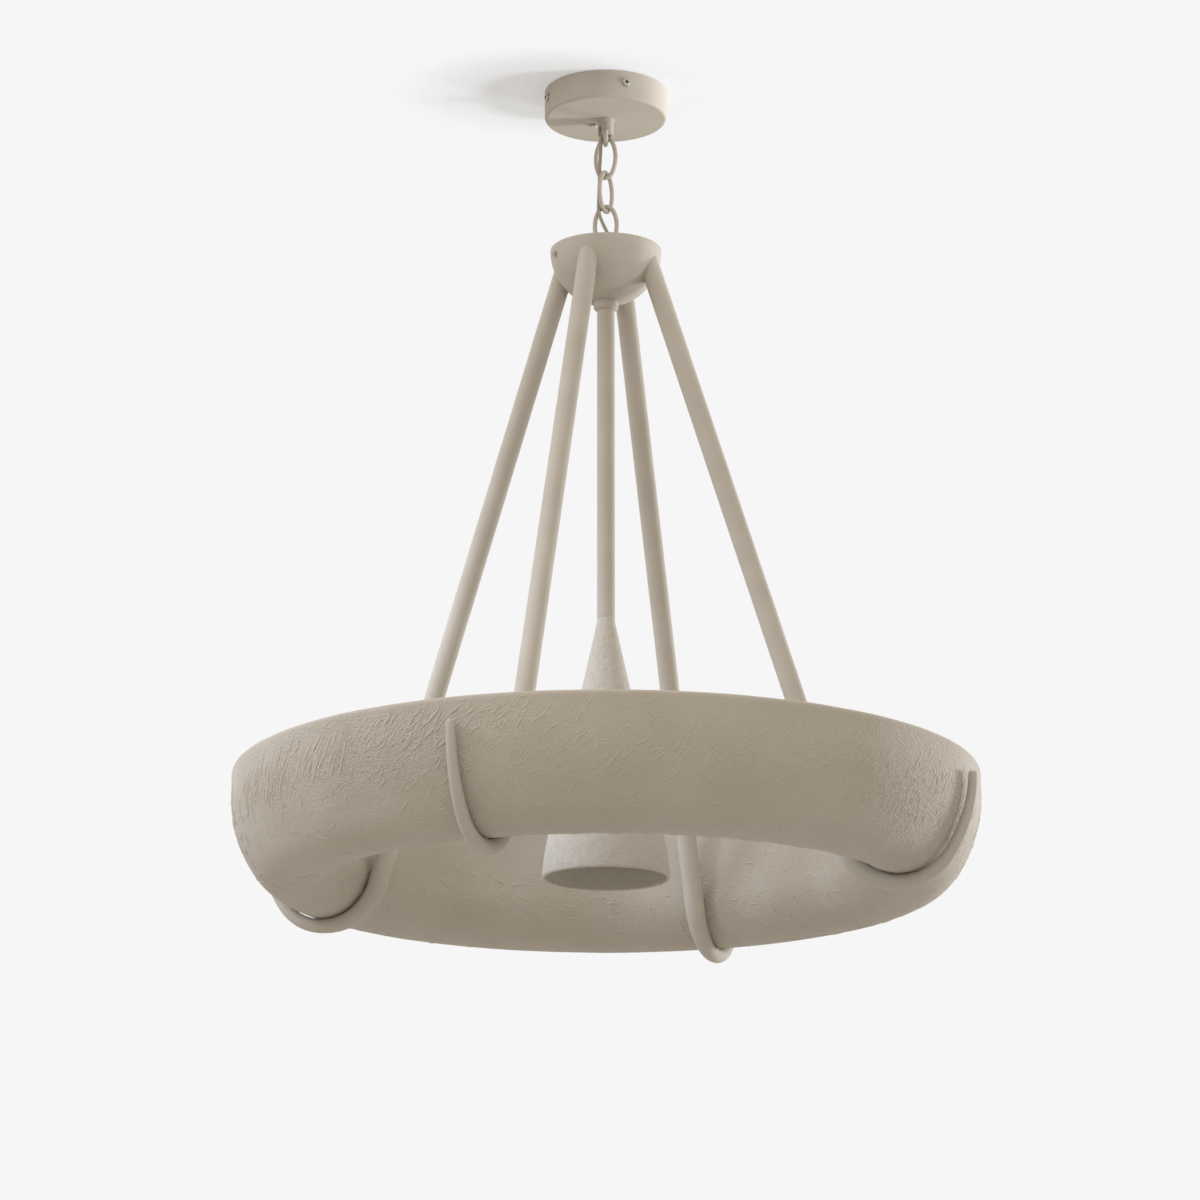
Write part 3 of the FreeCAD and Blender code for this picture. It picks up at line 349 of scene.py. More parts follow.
# Terminal block and lampholder: moulded pieces that are hidden in use, one pale and one black,
# with the flow marks and the soft sheen of moulded plastic. The lampholder's contacts are brass.
PALE_PLASTIC = (0.70, 0.69, 0.65, 1)
BLACK_PLASTIC = (0.012, 0.012, 0.012, 1)
BRASS = (0.62, 0.44, 0.19, 1)


def moulded(name, colour, roughness):
    """Plastic with the marks of its flow in the mould."""
    material, tree, shader = new_material(name)
    flow = noise(tree, scale=320.0, detail=3.0, Vector=object_place(tree))
    fill(tree, shader, {
        "Base Color": mixed(tree, flow, colour, paler(colour, 1.3, plus=0.01)),
        "Roughness": mapped(tree, flow, 0.0, 1.0, low=roughness - 0.1, high=roughness + 0.1),
        "Normal": bumped(tree, flow, relief=0.00005),
    })
    return material


finish_nodes(moulded("terminal_plastic", PALE_PLASTIC, roughness=0.5), "terminal_block")
finish_nodes(moulded("holder_plastic", BLACK_PLASTIC, roughness=0.4), "lampholder_cap", "lampholder_body")
finish_nodes(plated("brass_contact", BRASS, roughness=0.3), "lampholder_shell", "lampholder_contact")

# Loops and chain: a turned collar with a bent bail at each end, and oval links of bent wire.
# They are sprayed with the canopy's paint, a little smoother on the thin wire.
chain_paint = mineral_paint("chain_paint", GREIGE, GREIGE_PALE, grain=2400, mottle=60, relief=0.00005)
finish_nodes(chain_paint, "hang_loop", "link_upper", "link_middle", "link_lower", "hub_loop")

# Cord: a round two-core lead with a woven cover. It leaves the terminal block, comes out of the
# notch in the upper collar, winds past the links and goes into the hub's loop.
CORD_RADIUS = 0.0017
CORD_SIDES = 20
BEND_REACH = 0.008
WOVEN_SHADE = (0.30, 0.262, 0.208, 1)
CORD_ROUTE = [
    (0.0200, 0, -0.0095),
    (0, 0, -0.0095),
    (0, 0, -0.0320),
    (-0.0046, -0.00295, -0.0460),
    (-0.0049, -0.00275, -0.0600),
    (-0.0062, -0.0016, -0.0800),
    (-0.0063, -0.0017, -0.0940),
    (-0.0070, -0.0031, -0.1130),
    (-0.00735, -0.0033, -0.1280),
    (0.0036, -0.0050, -0.1520),
    (0.00395, -0.0050, -0.1605),
    (0.0014, -0.0021, -0.1700),
    (0, 0, -0.1820),
    (0, 0, -0.1900),
]


def plain_mesh_of(carrier):
    """The evaluated geometry of an object as a plain mesh; the object itself goes."""
    graph = bpy.context.evaluated_depsgraph_get()
    mesh = bpy.data.meshes.new_from_object(carrier.evaluated_get(graph), depsgraph=graph)
    bpy.data.objects.remove(carrier)
    return mesh


def shown(name, data):
    """A new object in the scene."""
    made = bpy.data.objects.new(name, data)
    bpy.context.scene.collection.objects.link(made)
    return made


def formed(name, base, tree, **inputs):
    """What a geometry tree makes of a base mesh, as a plain mesh object."""
    carrier = shown(name + "_base", base)
    modifier = carrier.modifiers.new("form", "NODES")
    modifier.node_group = tree
    for socket in tree.interface.items_tree:
        if socket.item_type == "SOCKET" and socket.in_out == "INPUT" and socket.name in inputs:
            modifier[socket.identifier] = inputs[socket.name]
    return shown(name, plain_mesh_of(carrier))


def uneven_lift(tree, given, detail):
    """How far an uneven coat lies above or below a smooth form."""
    calc = calculator(tree)
    lumps = noise(tree, calc("DIVIDE", 1.0, given["Lump"]), detail)
    return calc("MULTIPLY", calc("SUBTRACT", lumps, 0.5), given["Uneven"])


def moved(tree, form, direction, distance):
    """A form with each of its points moved along a direction."""
    offset = add(tree, "ShaderNodeVectorMath", {0: direction, "Scale": distance}, operation="SCALE")
    return add(tree, "GeometryNodeSetPosition", {"Geometry": form, "Offset": offset.outputs[0]}).outputs[0]


def close_tree(tree, given, result, form):
    """The end of a geometry tree: smooth faces, real geometry and its material."""
    smooth = add(tree, "GeometryNodeSetShadeSmooth", {"Geometry": form})
    real = add(tree, "GeometryNodeRealizeInstances", {"Geometry": smooth.outputs[0]})
    painted = add(tree, "GeometryNodeSetMaterial",
                  {"Geometry": real.outputs[0], "Material": given["Material"]})
    tree.links.new(painted.outputs[0], result["Geometry"])
    return tree


def swept_rod_tree():
    """A round rod along a chain of edges, with each point's own radius, under an uneven coat."""
    takes = [("Geometry", "Geometry"), ("Sides", "Int"), ("Uneven", "Float", 0.0), ("Lump", "Float", 0.02),
             ("Material", "Material")]
    tree, given, result = open_group("swept_rod", "GeometryNodeTree", takes, [("Geometry", "Geometry")])
    path = add(tree, "GeometryNodeMeshToCurve", {"Mesh": given["Geometry"]})
    radius = add(tree, "GeometryNodeInputNamedAttribute", {"Name": "rod_radius"}, data_type="FLOAT")
    section = add(tree, "GeometryNodeCurvePrimitiveCircle", {"Resolution": given["Sides"], "Radius": 1.0})
    rod = add(tree, "GeometryNodeCurveToMesh", {
        "Curve": path.outputs[0], "Profile Curve": section.outputs[0],
        "Scale": radius.outputs["Attribute"], "Fill Caps": True})
    normal = add(tree, "GeometryNodeInputNormal").outputs[0]
    coated = moved(tree, rod.outputs[0], normal, uneven_lift(tree, given, detail=3.0))
    return close_tree(tree, given, result, coated)


SWEPT_ROD = swept_rod_tree()


def edge_chain(name, points, radii):
    """A chain of edges through points, with the rod's radius at each."""
    mesh = bpy.data.meshes.new(name)
    mesh.from_pydata(points, [(i, i + 1) for i in range(len(points) - 1)], [])
    mesh.attributes.new("rod_radius", "FLOAT", "POINT").data.foreach_set("value", radii)
    return mesh


def cord_line():
    """Points along the smooth line of the cord."""
    curve = bpy.data.curves.new("cord_route", "CURVE")
    curve.dimensions = "3D"
    spline = curve.splines.new("NURBS")
    spline.points.add(len(CORD_ROUTE) - 1)
    for point, spot in zip(spline.points, CORD_ROUTE):
        point.co = (*spot, 1)
    spline.order_u = 3
    spline.use_endpoint_u = True
    spline.resolution_u = 12
    line = plain_mesh_of(shown("cord_route", curve))
    points = [vertex.co.copy() for vertex in line.vertices]
    bpy.data.meshes.remove(line)
    return points


def cord_cover():
    """A woven cover of the paint's colour: fine diagonal threads."""
    material, tree, shader = new_material("cord_cover")
    weave = {"Vector": object_place(tree), "Scale": 420.0, "Distortion": 1.5, "Detail": 2.0}
    threads = add(tree, "ShaderNodeTexWave", weave, bands_direction="DIAGONAL").outputs["Fac"]
    fill(tree, shader, {
        "Base Color": mixed(tree, threads, WOVEN_SHADE, GREIGE),
        "Roughness": 0.85,
        "Normal": bumped(tree, threads, relief=0.0002),
        "Sheen Weight": 0.2,
    })
    return material


cord_material = cord_cover()
hung_bodies = ["canopy", "upper_link", "middle_link", "lower_link", "hung_frame"]
pivots = [joint["pos_m"][2] for joint in frame["joints"]]
link_middles = [(upper + lower) / 2 for upper, lower in zip(pivots, pivots[1:])]
cord_points = cord_line()
cord_cuts = [0]
for height in link_middles:
    cord_cuts.append(min(range(len(cord_points)), key=lambda i: abs(cord_points[i].z - height)))
cord_cuts.append(len(cord_points) - 1)
for i, pivot in enumerate(pivots):
    stretch = cord_points[cord_cuts[i]:cord_cuts[i + 1] + 1]
    length = sum((b - a).length for a, b in zip(stretch, stretch[1:]))
    chain = edge_chain("cord_stretch", stretch, [CORD_RADIUS] * len(stretch))
    cord = formed(f"cord_{hung_bodies[i]}", chain, SWEPT_ROD, Sides=CORD_SIDES, Material=cord_material)
    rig.blend(cord, hung_bodies[i], hung_bodies[i + 1], start=(0, 0, pivot + BEND_REACH),
             end=(0, 0, pivot - BEND_REACH))
    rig.replaces(cord, "chain_cord")
    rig.slot(cord, "cord_cover")
    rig.cord(cord, exit=stretch[0], length=length, diameter=2 * CORD_RADIUS, far_end="object", lay="hanging",
            path=stretch)
finish_nodes(cord_material, "stem_cord")

# Hub: a spun hemisphere that hides the cast spider, closed by a lid with two screws.
# The arms go into it with no gap, filled with the same mineral paint.
HUB_RADIUS = 0.054
HUB_WALL = 0.0025
BOWL_HOLE = 0.0053
HUB_STEPS = 160
HUB_OUTER_STEPS = 60
HUB_INNER_STEPS = 40
CAST_IRON = (0.10, 0.10, 0.10, 1)
hub_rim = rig.box("hub_bowl")[1].z
hub_inner = HUB_RADIUS - HUB_WALL


def arc_points(centre, radius, start, stop, count):
    """Points of a circular arc in the (radius, height) plane; angles in degrees."""
    angles = [math.radians(start + (stop - start) * i / count) for i in range(count + 1)]
    return [(centre[0] + radius * math.cos(a), centre[1] + radius * math.sin(a)) for a in angles]


def turned(name, outline, steps):
    """A mesh turned about the axis from a closed outline of (radius, height) that runs anticlockwise."""
    mesh = bmesh.new()
    turns = [2 * math.pi * i / steps for i in range(steps)]
    rings = [[mesh.verts.new((radius * math.cos(t), radius * math.sin(t), height)) for t in turns]
             for radius, height in outline]
    for low, high in zip(rings, rings[1:] + rings[:1]):
        for i in range(steps):
            after = (i + 1) % steps
            mesh.faces.new((low[i], low[after], high[after], high[i]))
    data = bpy.data.meshes.new(name)
    mesh.to_mesh(data)
    mesh.free()
    return data


def coated_form_tree():
    """A hand-finished coat on a smooth form: slow unevenness, and pits where the coat has them."""
    takes = [("Geometry", "Geometry"), ("Uneven", "Float"), ("Lump", "Float"), ("Pit depth", "Float", 0.0),
             ("Pit size", "Float", 0.002), ("Material", "Material")]
    tree, given, result = open_group("coated_form", "GeometryNodeTree", takes, [("Geometry", "Geometry")])
    calc = calculator(tree)
    pits = noise(tree, calc("DIVIDE", 1.0, given["Pit size"]), detail=2.0)
    hollow = mapped(tree, pits, start=0.56, stop=0.72)
    lift = calc("SUBTRACT", uneven_lift(tree, given, detail=4.0),
                calc("MULTIPLY", hollow, given["Pit depth"]))
    normal = add(tree, "GeometryNodeInputNormal").outputs[0]
    return close_tree(tree, given, result, moved(tree, given["Geometry"], normal, lift))


COATED_FORM = coated_form_tree()
hub_paint = mineral_paint("hub_paint", GREIGE, GREIGE_PALE, grain=1700, mottle=30, relief=0.0001)
outer_start = -90 + math.degrees(BOWL_HOLE / HUB_RADIUS)
inner_stop = -90 + math.degrees(BOWL_HOLE / hub_inner)
bowl_outline = arc_points((0, hub_rim), HUB_RADIUS, outer_start, 0, HUB_OUTER_STEPS)
bowl_outline += arc_points((0, hub_rim), hub_inner, 0, inner_stop, HUB_INNER_STEPS)
bowl = formed("hub_bowl_coat", turned("hub_bowl_form", bowl_outline, HUB_STEPS), COATED_FORM,
              Uneven=0.0004, Lump=0.022, Material=hub_paint)
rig.ride(bowl, "hung_frame")
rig.replaces(bowl, "hub_bowl")
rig.slot(bowl, "painted_metal")
finish_nodes(hub_paint, "hub_lid", "stem_check_ring", "lid_screws")
finish_nodes(plated("cast_spider", CAST_IRON, roughness=0.6), "hub_spider")

# Arms: four tubes, each welded to a forged hook and dipped in the coat so that no joint shows.
# A hook bends under the drum's rim and tapers up outside it to a blunt tip.
ARM_NAMES = ("front_right", "back_right", "back_left", "front_left")
ARM_TURN = math.radians(-22)
ARM_RADIUS = 0.0095
ARM_SIDES = 40
ARM_HUB_RADIUS = 0.039
ARM_SINK = 0.010
ARM_GAP = 0.001
SEAT_GAP = 0.0003
FINGER_GAP = 0.0006
SADDLE_WIRE = 0.007
TIP_RADIUS = 0.004
TIP_ROUND = 0.002
DRUM_HEIGHT = 0.1127
DRUM_STRAIGHT = 0.0232
DRUM_ARC = 0.1193
DRUM_ROUND = 0.0467
drum_low, drum_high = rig.box("drum_shell")
drum_radius = (drum_high.x - drum_low.x) / 2
bend_centre = Vector((drum_radius - DRUM_ARC, 0, drum_high.z - DRUM_STRAIGHT))
round_fall = DRUM_HEIGHT - DRUM_ROUND - DRUM_STRAIGHT
round_reach = math.sqrt((DRUM_ARC - DRUM_ROUND)**2 - round_fall**2)
round_centre = bend_centre + Vector((round_reach, 0, -round_fall))
round_turn = math.atan2(round_fall, round_reach)


def arm_line():
    """Points and radii along one arm in the XZ plane, from inside the hub to the tip of its finger."""
    enter_path = DRUM_ROUND + ARM_GAP + ARM_RADIUS
    saddle_path = DRUM_ROUND + SEAT_GAP + SADDLE_WIRE
    leave_path = DRUM_ROUND + FINGER_GAP + SADDLE_WIRE
    finger_path = DRUM_ARC + FINGER_GAP + SADDLE_WIRE
    hub = Vector((ARM_HUB_RADIUS, 0, hub_rim))
    run = (round_centre - hub).length
    tilt = math.atan2(round_centre.x - hub.x, hub.z - round_centre.z) - math.asin(enter_path / run)
    down = Vector((math.sin(tilt), 0, -math.cos(tilt)))
    length = math.sqrt(run**2 - enter_path**2)
    to_foot = saddle_path * (math.pi / 2 - round_turn)
    foot = SADDLE_WIRE + (TIP_RADIUS - SADDLE_WIRE) * to_foot / (to_foot + finger_path * round_turn)
    points = []
    radii = []
    straight_steps = 90
    for i in range(straight_steps):
        points.append(hub + down * (ARM_SINK + (length - ARM_SINK) * i / straight_steps))
        radii.append(ARM_RADIUS)
    stretches = [
        (round_centre, (tilt - math.pi, -math.pi / 2), (enter_path, saddle_path),
         (ARM_RADIUS, SADDLE_WIRE), 30),
        (round_centre, (-math.pi / 2, -round_turn), (saddle_path, leave_path), (SADDLE_WIRE, foot), 22),
        (bend_centre, (-round_turn, 0), (finger_path, finger_path), (foot, TIP_RADIUS), 34),
    ]
    for centre, angles, paths, sizes, steps in stretches:
        for i in range(steps):
            angle, reach, size = [a + (b - a) * i / steps for a, b in (angles, paths, sizes)]
            points.append(centre + reach * Vector((math.cos(angle), 0, math.sin(angle))))
            radii.append(size)
    tip = bend_centre + Vector((finger_path, 0, -TIP_ROUND))
    tip_turns = (0, 30, 55, 75, 90)
    for degrees in tip_turns:
        turn = math.radians(degrees)
        points.append(tip + Vector((0, 0, TIP_ROUND * math.sin(turn))))
        radii.append(TIP_RADIUS - TIP_ROUND * (1 - math.cos(turn)))
    return points, radii


arm_paint = mineral_paint("arm_paint", GREIGE, GREIGE_PALE, grain=1500, mottle=26, relief=0.0001)
arm_points, arm_radii = arm_line()
for i, name in enumerate(ARM_NAMES):
    turn = Matrix.Rotation(ARM_TURN + i * math.pi / 2, 4, "Z")
    chain = edge_chain("arm_path", [turn @ point for point in arm_points], arm_radii)
    arm = formed(f"arm_{name}", chain, SWEPT_ROD, Sides=ARM_SIDES, Uneven=0.00035, Lump=0.018,
                 Material=arm_paint)
    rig.ride(arm, "hung_frame")
    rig.replaces(arm, f"arm_tube_{name}", f"arm_hook_{name}")
    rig.slot(arm, "painted_metal")

# Drum: a hollow ring cast in plaster and trowelled by hand, upright outside and inside and round below,
# with a flat ring let in on top. The skin is slightly uneven and grainy, and the trowel has left
# thin raised ridges, crowded in some patches and few in others.
PLASTER = (0.395, 0.340, 0.270, 1)
PLASTER_PALE = (0.505, 0.452, 0.380, 1)
PLASTER_GRAIN = 430
PLASTER_MOTTLE = 16
DRUM_WALL = 0.008
DRUM_UNEVEN = 0.0009
DRUM_LUMP = 0.045
DRUM_STEPS = 640
ROUND_STEPS = 52
BEND_STEPS = 28
OUTER_WALL_STEPS = 8
INNER_WALL_STEPS = 16
EDGE_STEPS = 8
HIDDEN_BEND_STEPS = 5
HIDDEN_ROUND_STEPS = 9
half_wall = DRUM_WALL / 2
drum_inner = round_centre.x - DRUM_ROUND
edge_z = drum_high.z - half_wall
bend_spot = (bend_centre.x, bend_centre.z)
round_spot = (round_centre.x, round_centre.z)
turn_degrees = math.degrees(round_turn)
outer_rise = edge_z - bend_spot[1]
inner_rise = edge_z - round_spot[1]
drum_outline = arc_points(round_spot, DRUM_ROUND, -180, -turn_degrees, ROUND_STEPS)
drum_outline += arc_points(bend_spot, DRUM_ARC, -turn_degrees, 0, BEND_STEPS)[1:]
drum_outline += [(drum_radius, bend_spot[1] + outer_rise * i / OUTER_WALL_STEPS)
                 for i in range(1, OUTER_WALL_STEPS)]
drum_outline += arc_points((drum_radius - half_wall, edge_z), half_wall, 0, 180, EDGE_STEPS)
drum_outline += arc_points(bend_spot, DRUM_ARC - DRUM_WALL, 0, -turn_degrees, HIDDEN_BEND_STEPS)
drum_outline += arc_points(round_spot, DRUM_ROUND - DRUM_WALL, -turn_degrees, -180, HIDDEN_ROUND_STEPS)[1:]
drum_outline += arc_points((drum_inner + half_wall, edge_z), half_wall, 0, 180, EDGE_STEPS)
drum_outline += [(drum_inner, edge_z - inner_rise * i / INNER_WALL_STEPS)
                 for i in range(1, INNER_WALL_STEPS)]


def trowelled_plaster():
    """Painted plaster: mottled and sandy, with short drag marks of the trowel and two stippled patches."""
    material = mineral_paint("trowelled_plaster", PLASTER, PLASTER_PALE, grain=PLASTER_GRAIN,
                             mottle=PLASTER_MOTTLE, relief=0.0008)
    tree = material.node_tree
    calc = calculator(tree)
    grain_bump = tree.nodes["Principled BSDF"].inputs["Normal"].links[0].from_node
    place = object_place(tree)
    dragged = add(tree, "ShaderNodeMapping",
                  {"Vector": place, "Scale": (1, 1, 2.2), "Rotation": (0.5, 0.4, 0.2)})
    marks = noise(tree, scale=95.0, detail=5.0, Vector=dragged.outputs[0], Roughness=0.55, Distortion=0.6)
    drag_normal = bumped(tree, marks, relief=0.0011, Strength=0.55)
    x, y, z = add(tree, "ShaderNodeSeparateXYZ", {0: place}).outputs
    turn = calc("ARCTAN2", y, x)

    def patch(middle, spread, depth, depth_spread):
        """The strength of a patch; its angles are in degrees and its depth is from the drum's top."""
        across = calc("DIVIDE", calc("SUBTRACT", turn, math.radians(middle)), math.radians(spread))
        down = calc("DIVIDE", calc("SUBTRACT", z, drum_high.z - depth), depth_spread)
        far = calc("MULTIPLY_ADD", across, across, calc("MULTIPLY", down, down))
        return mapped(tree, far, start=0.2, stop=1.5, low=1.0, high=0.0)

    left = patch(middle=-134, spread=30, depth=0.032, depth_spread=0.042)
    right = patch(middle=-33, spread=15, depth=0.06, depth_spread=0.075)
    dabs = noise(tree, scale=460.0, detail=2.0, Vector=place)
    stipple = calc("MULTIPLY", dabs, calc("MAXIMUM", left, right))
    stipple_normal = bumped(tree, stipple, relief=0.002, Normal=drag_normal)
    tree.links.new(stipple_normal, grain_bump.inputs["Normal"])
    return material


plaster = trowelled_plaster()
drum = formed("drum_plaster", turned("drum_form", drum_outline, DRUM_STEPS), COATED_FORM,
              Uneven=DRUM_UNEVEN, Lump=DRUM_LUMP, Material=plaster)
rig.ride(drum, "hung_frame")
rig.replaces(drum, "drum_shell")
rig.slot(drum, "painted_plaster")
finish_nodes(plaster, "drum_cover")

# The ridges take a paler copy of the plaster paint: a painted highlight for the light that catches their raised sides.
RIDGE_FLATNESS = 0.8
RIDGE_SINK = 0.0002
RIDGE_HIGHLIGHT = 1.07
RIDGE_SIDES = 6
HIGHEST_RIDGE = 0.005
# Painted highlight: the ridges' paint is the plaster's colour made paler.
rubbed_plaster = mineral_paint("rubbed_plaster", paler(PLASTER, RIDGE_HIGHLIGHT),
                               paler(PLASTER_PALE, RIDGE_HIGHLIGHT), grain=PLASTER_GRAIN,
                               mottle=PLASTER_MOTTLE, relief=0.0004)


def trowel_ridge_tree():
    """Thin curved ridges on a wall that is upright above and bends in below.

    Places are (distance along the circumference, depth down the wall), about the middle of a patch."""
    whole_numbers = ("Count", "Seed", "Steps")
    measures = ("Middle", "Spread", "Depth", "Depth spread", "Lean", "Lean spread", "Length", "Width",
                "Wall radius", "Arc", "Bend depth", "Wall top", "Lowest", "Facing", "Uneven", "Lump")
    takes = [("Geometry", "Geometry"), ("Material", "Material")]
    takes += [(label, "Int") for label in whole_numbers]
    takes += [(label, "Float") for label in measures]
    tree, given, result = open_group("trowel_ridges", "GeometryNodeTree", takes, [("Geometry", "Geometry")])
    calc = calculator(tree)
    stroke = add(tree, "GeometryNodeCurvePrimitiveLine")
    points = add(tree, "GeometryNodeResampleCurve", {"Curve": stroke.outputs[0], "Count": given["Steps"]})
    copies = add(tree, "GeometryNodeDuplicateElements",
                 {"Geometry": points.outputs[0], "Amount": given["Count"]}, domain="SPLINE")
    number = copies.outputs["Duplicate Index"]

    def chance(low, high, salt):
        """A random value for each ridge; the salt keeps one draw apart from another."""
        seed = calc("ADD", given["Seed"], salt)
        return add(tree, "FunctionNodeRandomValue", {2: low, 3: high, "ID": number, "Seed": seed},
                   data_type="FLOAT").outputs[1]

    def scattered(middle, spread, salt):
        """A random value for each ridge that is likelier near the middle."""
        bell_width = 1.7
        first, second, third = [chance(-1.0, 1.0, salt + step) for step in (0, 50, 100)]
        bell = calc("ADD", calc("ADD", first, second), third)
        return calc("MULTIPLY_ADD", calc("DIVIDE", bell, bell_width), spread, middle)

    along_share = add(tree, "GeometryNodeSplineParameter").outputs["Factor"]
    centred = calc("SUBTRACT", along_share, 0.5)
    length = calc("MULTIPLY", given["Length"], chance(0.35, 1.6, 1))
    along = calc("MULTIPLY", centred, length)
    bow_size = calc("MULTIPLY", length, chance(-0.45, 0.45, 2))
    bow = calc("MULTIPLY", calc("MULTIPLY", centred, centred), bow_size)
    between_ridges = 7.31
    waves_per_metre = 140.0
    wander_reach = 0.004
    wander_place = calc("MULTIPLY_ADD", number, between_ridges, calc("MULTIPLY", along, waves_per_metre))
    wander = add(tree, "ShaderNodeTexNoise", {"W": wander_place, "Scale": 1.0, "Detail": 1.0},
                 noise_dimensions="1D").outputs["Fac"]
    side = calc("ADD", bow, calc("MULTIPLY", calc("SUBTRACT", wander, 0.5), wander_reach))
    lean = scattered(given["Lean"], given["Lean spread"], 3)
    lean_cosine = calc("COSINE", lean)
    lean_sine = calc("SINE", lean)
    across = calc("SUBTRACT", calc("MULTIPLY", along, lean_cosine), calc("MULTIPLY", side, lean_sine))
    rise = calc("ADD", calc("MULTIPLY", along, lean_sine), calc("MULTIPLY", side, lean_cosine))
    middle = calc("MULTIPLY", scattered(given["Middle"], given["Spread"], 4), given["Wall radius"])
    angle = calc("DIVIDE", calc("ADD", middle, across), given["Wall radius"])
    depth = calc("SUBTRACT", scattered(given["Depth"], given["Depth spread"], 5), rise)
    depth = calc("MINIMUM", calc("MAXIMUM", depth, HIGHEST_RIDGE), given["Lowest"])
    below = calc("SUBTRACT", depth, given["Bend depth"])
    bend = calc("DIVIDE", calc("MAXIMUM", below, 0.0), given["Arc"])
    above = calc("MAXIMUM", calc("MULTIPLY", below, -1.0), 0.0)
    facing_arc = calc("MULTIPLY", given["Facing"], given["Arc"])
    centre = calc("SUBTRACT", given["Wall radius"], facing_arc)
    reach = calc("MULTIPLY_ADD", facing_arc, calc("COSINE", bend), centre)
    bend_height = calc("SUBTRACT", given["Wall top"], given["Bend depth"])
    height = calc("SUBTRACT", calc("ADD", bend_height, above),
                  calc("MULTIPLY", given["Arc"], calc("SINE", bend)))
    spot = add(tree, "ShaderNodeCombineXYZ", {
        0: calc("MULTIPLY", reach, calc("COSINE", angle)),
        1: calc("MULTIPLY", reach, calc("SINE", angle)),
        2: height})
    laid = add(tree, "GeometryNodeSetPosition", {"Geometry": copies.outputs[0], "Position": spot.outputs[0]})
    blunt_ends = 0.6
    swell = calc("POWER", calc("SINE", calc("MULTIPLY", along_share, math.pi)), blunt_ends)
    width = calc("MULTIPLY", calc("MULTIPLY", given["Width"], swell), chance(0.5, 1.3, 6))
    section = add(tree, "GeometryNodeCurvePrimitiveCircle", {"Resolution": RIDGE_SIDES, "Radius": 1.0})
    ridge = add(tree, "GeometryNodeCurveToMesh", {
        "Curve": laid.outputs[0], "Profile Curve": section.outputs[0], "Scale": width})
    position = add(tree, "GeometryNodeInputPosition").outputs[0]
    x, y, z = add(tree, "ShaderNodeSeparateXYZ", {0: position}).outputs
    plan = calc("SQRT", calc("MULTIPLY_ADD", x, x, calc("MULTIPLY", y, y)))
    out = calc("SUBTRACT", plan, centre)
    down = calc("MINIMUM", calc("SUBTRACT", z, bend_height), 0.0)
    far = calc("SQRT", calc("MULTIPLY_ADD", out, out, calc("MULTIPLY", down, down)))
    tilt = calc("DIVIDE", calc("DIVIDE", out, far), plan)
    outwards = add(tree, "ShaderNodeCombineXYZ", {
        0: calc("MULTIPLY", tilt, x), 1: calc("MULTIPLY", tilt, y), 2: calc("DIVIDE", down, far)})
    raised = calc("SUBTRACT", uneven_lift(tree, given, detail=4.0), RIDGE_SINK)
    flatter = calc("MULTIPLY", calc("SUBTRACT", far, given["Arc"]), RIDGE_FLATNESS - 1)
    pressed = moved(tree, ridge.outputs[0], outwards.outputs[0], calc("ADD", raised, flatter))
    return close_tree(tree, given, result, pressed)


TROWEL_RIDGES = trowel_ridge_tree()

# Patches of ridges: plan angle and its spread in degrees, depth below the drum's top and its spread in
# millimetres, lean of the strokes and its spread in degrees, length and width in millimetres, and how many.
OUTSIDE_PATCHES = [
    (270, 700, 62, 42, 50, 24, 16, 0.8, 760),
    (207, 7, 42, 15, 60, 10, 30, 1.15, 45),
    (222, 9, 36, 12, 58, 10, 32, 1.25, 55),
    (238, 8, 28, 11, 42, 22, 22, 1.05, 60),
    (212, 14, 42, 16, 50, 40, 5, 0.75, 200),
    (232, 12, 34, 12, 45, 40, 5, 0.75, 200),
    (254, 10, 20, 12, 40, 30, 13, 0.7, 110),
    (262, 20, 60, 28, 35, 22, 14, 0.65, 130),
    (283, 16, 55, 26, 38, 22, 15, 0.65, 130),
    (305, 8, 45, 24, 70, 40, 11, 0.75, 130),
    (318, 10, 70, 25, 60, 50, 8, 0.75, 260),
    (335, 9, 60, 30, 60, 50, 10, 0.9, 90),
    (15, 16, 50, 28, 60, 40, 12, 0.9, 80),
    (55, 20, 45, 24, 50, 40, 14, 0.9, 80),
    (100, 24, 50, 28, 45, 40, 14, 0.9, 90),
    (150, 20, 45, 26, 55, 40, 13, 0.9, 80),
    (185, 12, 50, 26, 60, 40, 10, 0.9, 60),
]
INSIDE_PATCHES = [
    (90, 700, 100, 70, 40, 40, 13, 0.9, 800),
    (62, 16, 75, 30, 30, 40, 11, 0.9, 80),
    (95, 18, 75, 30, 25, 40, 12, 0.9, 90),
    (125, 16, 75, 30, 30, 40, 11, 0.9, 80),
    (30, 16, 80, 36, 40, 40, 12, 0.9, 60),
    (170, 22, 80, 36, 40, 40, 13, 0.9, 70),
    (230, 30, 80, 36, 40, 40, 13, 0.9, 80),
    (300, 30, 80, 36, 40, 40, 13, 0.9, 80),
]
SHORT_STROKE = 9
SHORT_STEPS = 5
LONG_STEPS = 8
MILLIMETRES = 1000


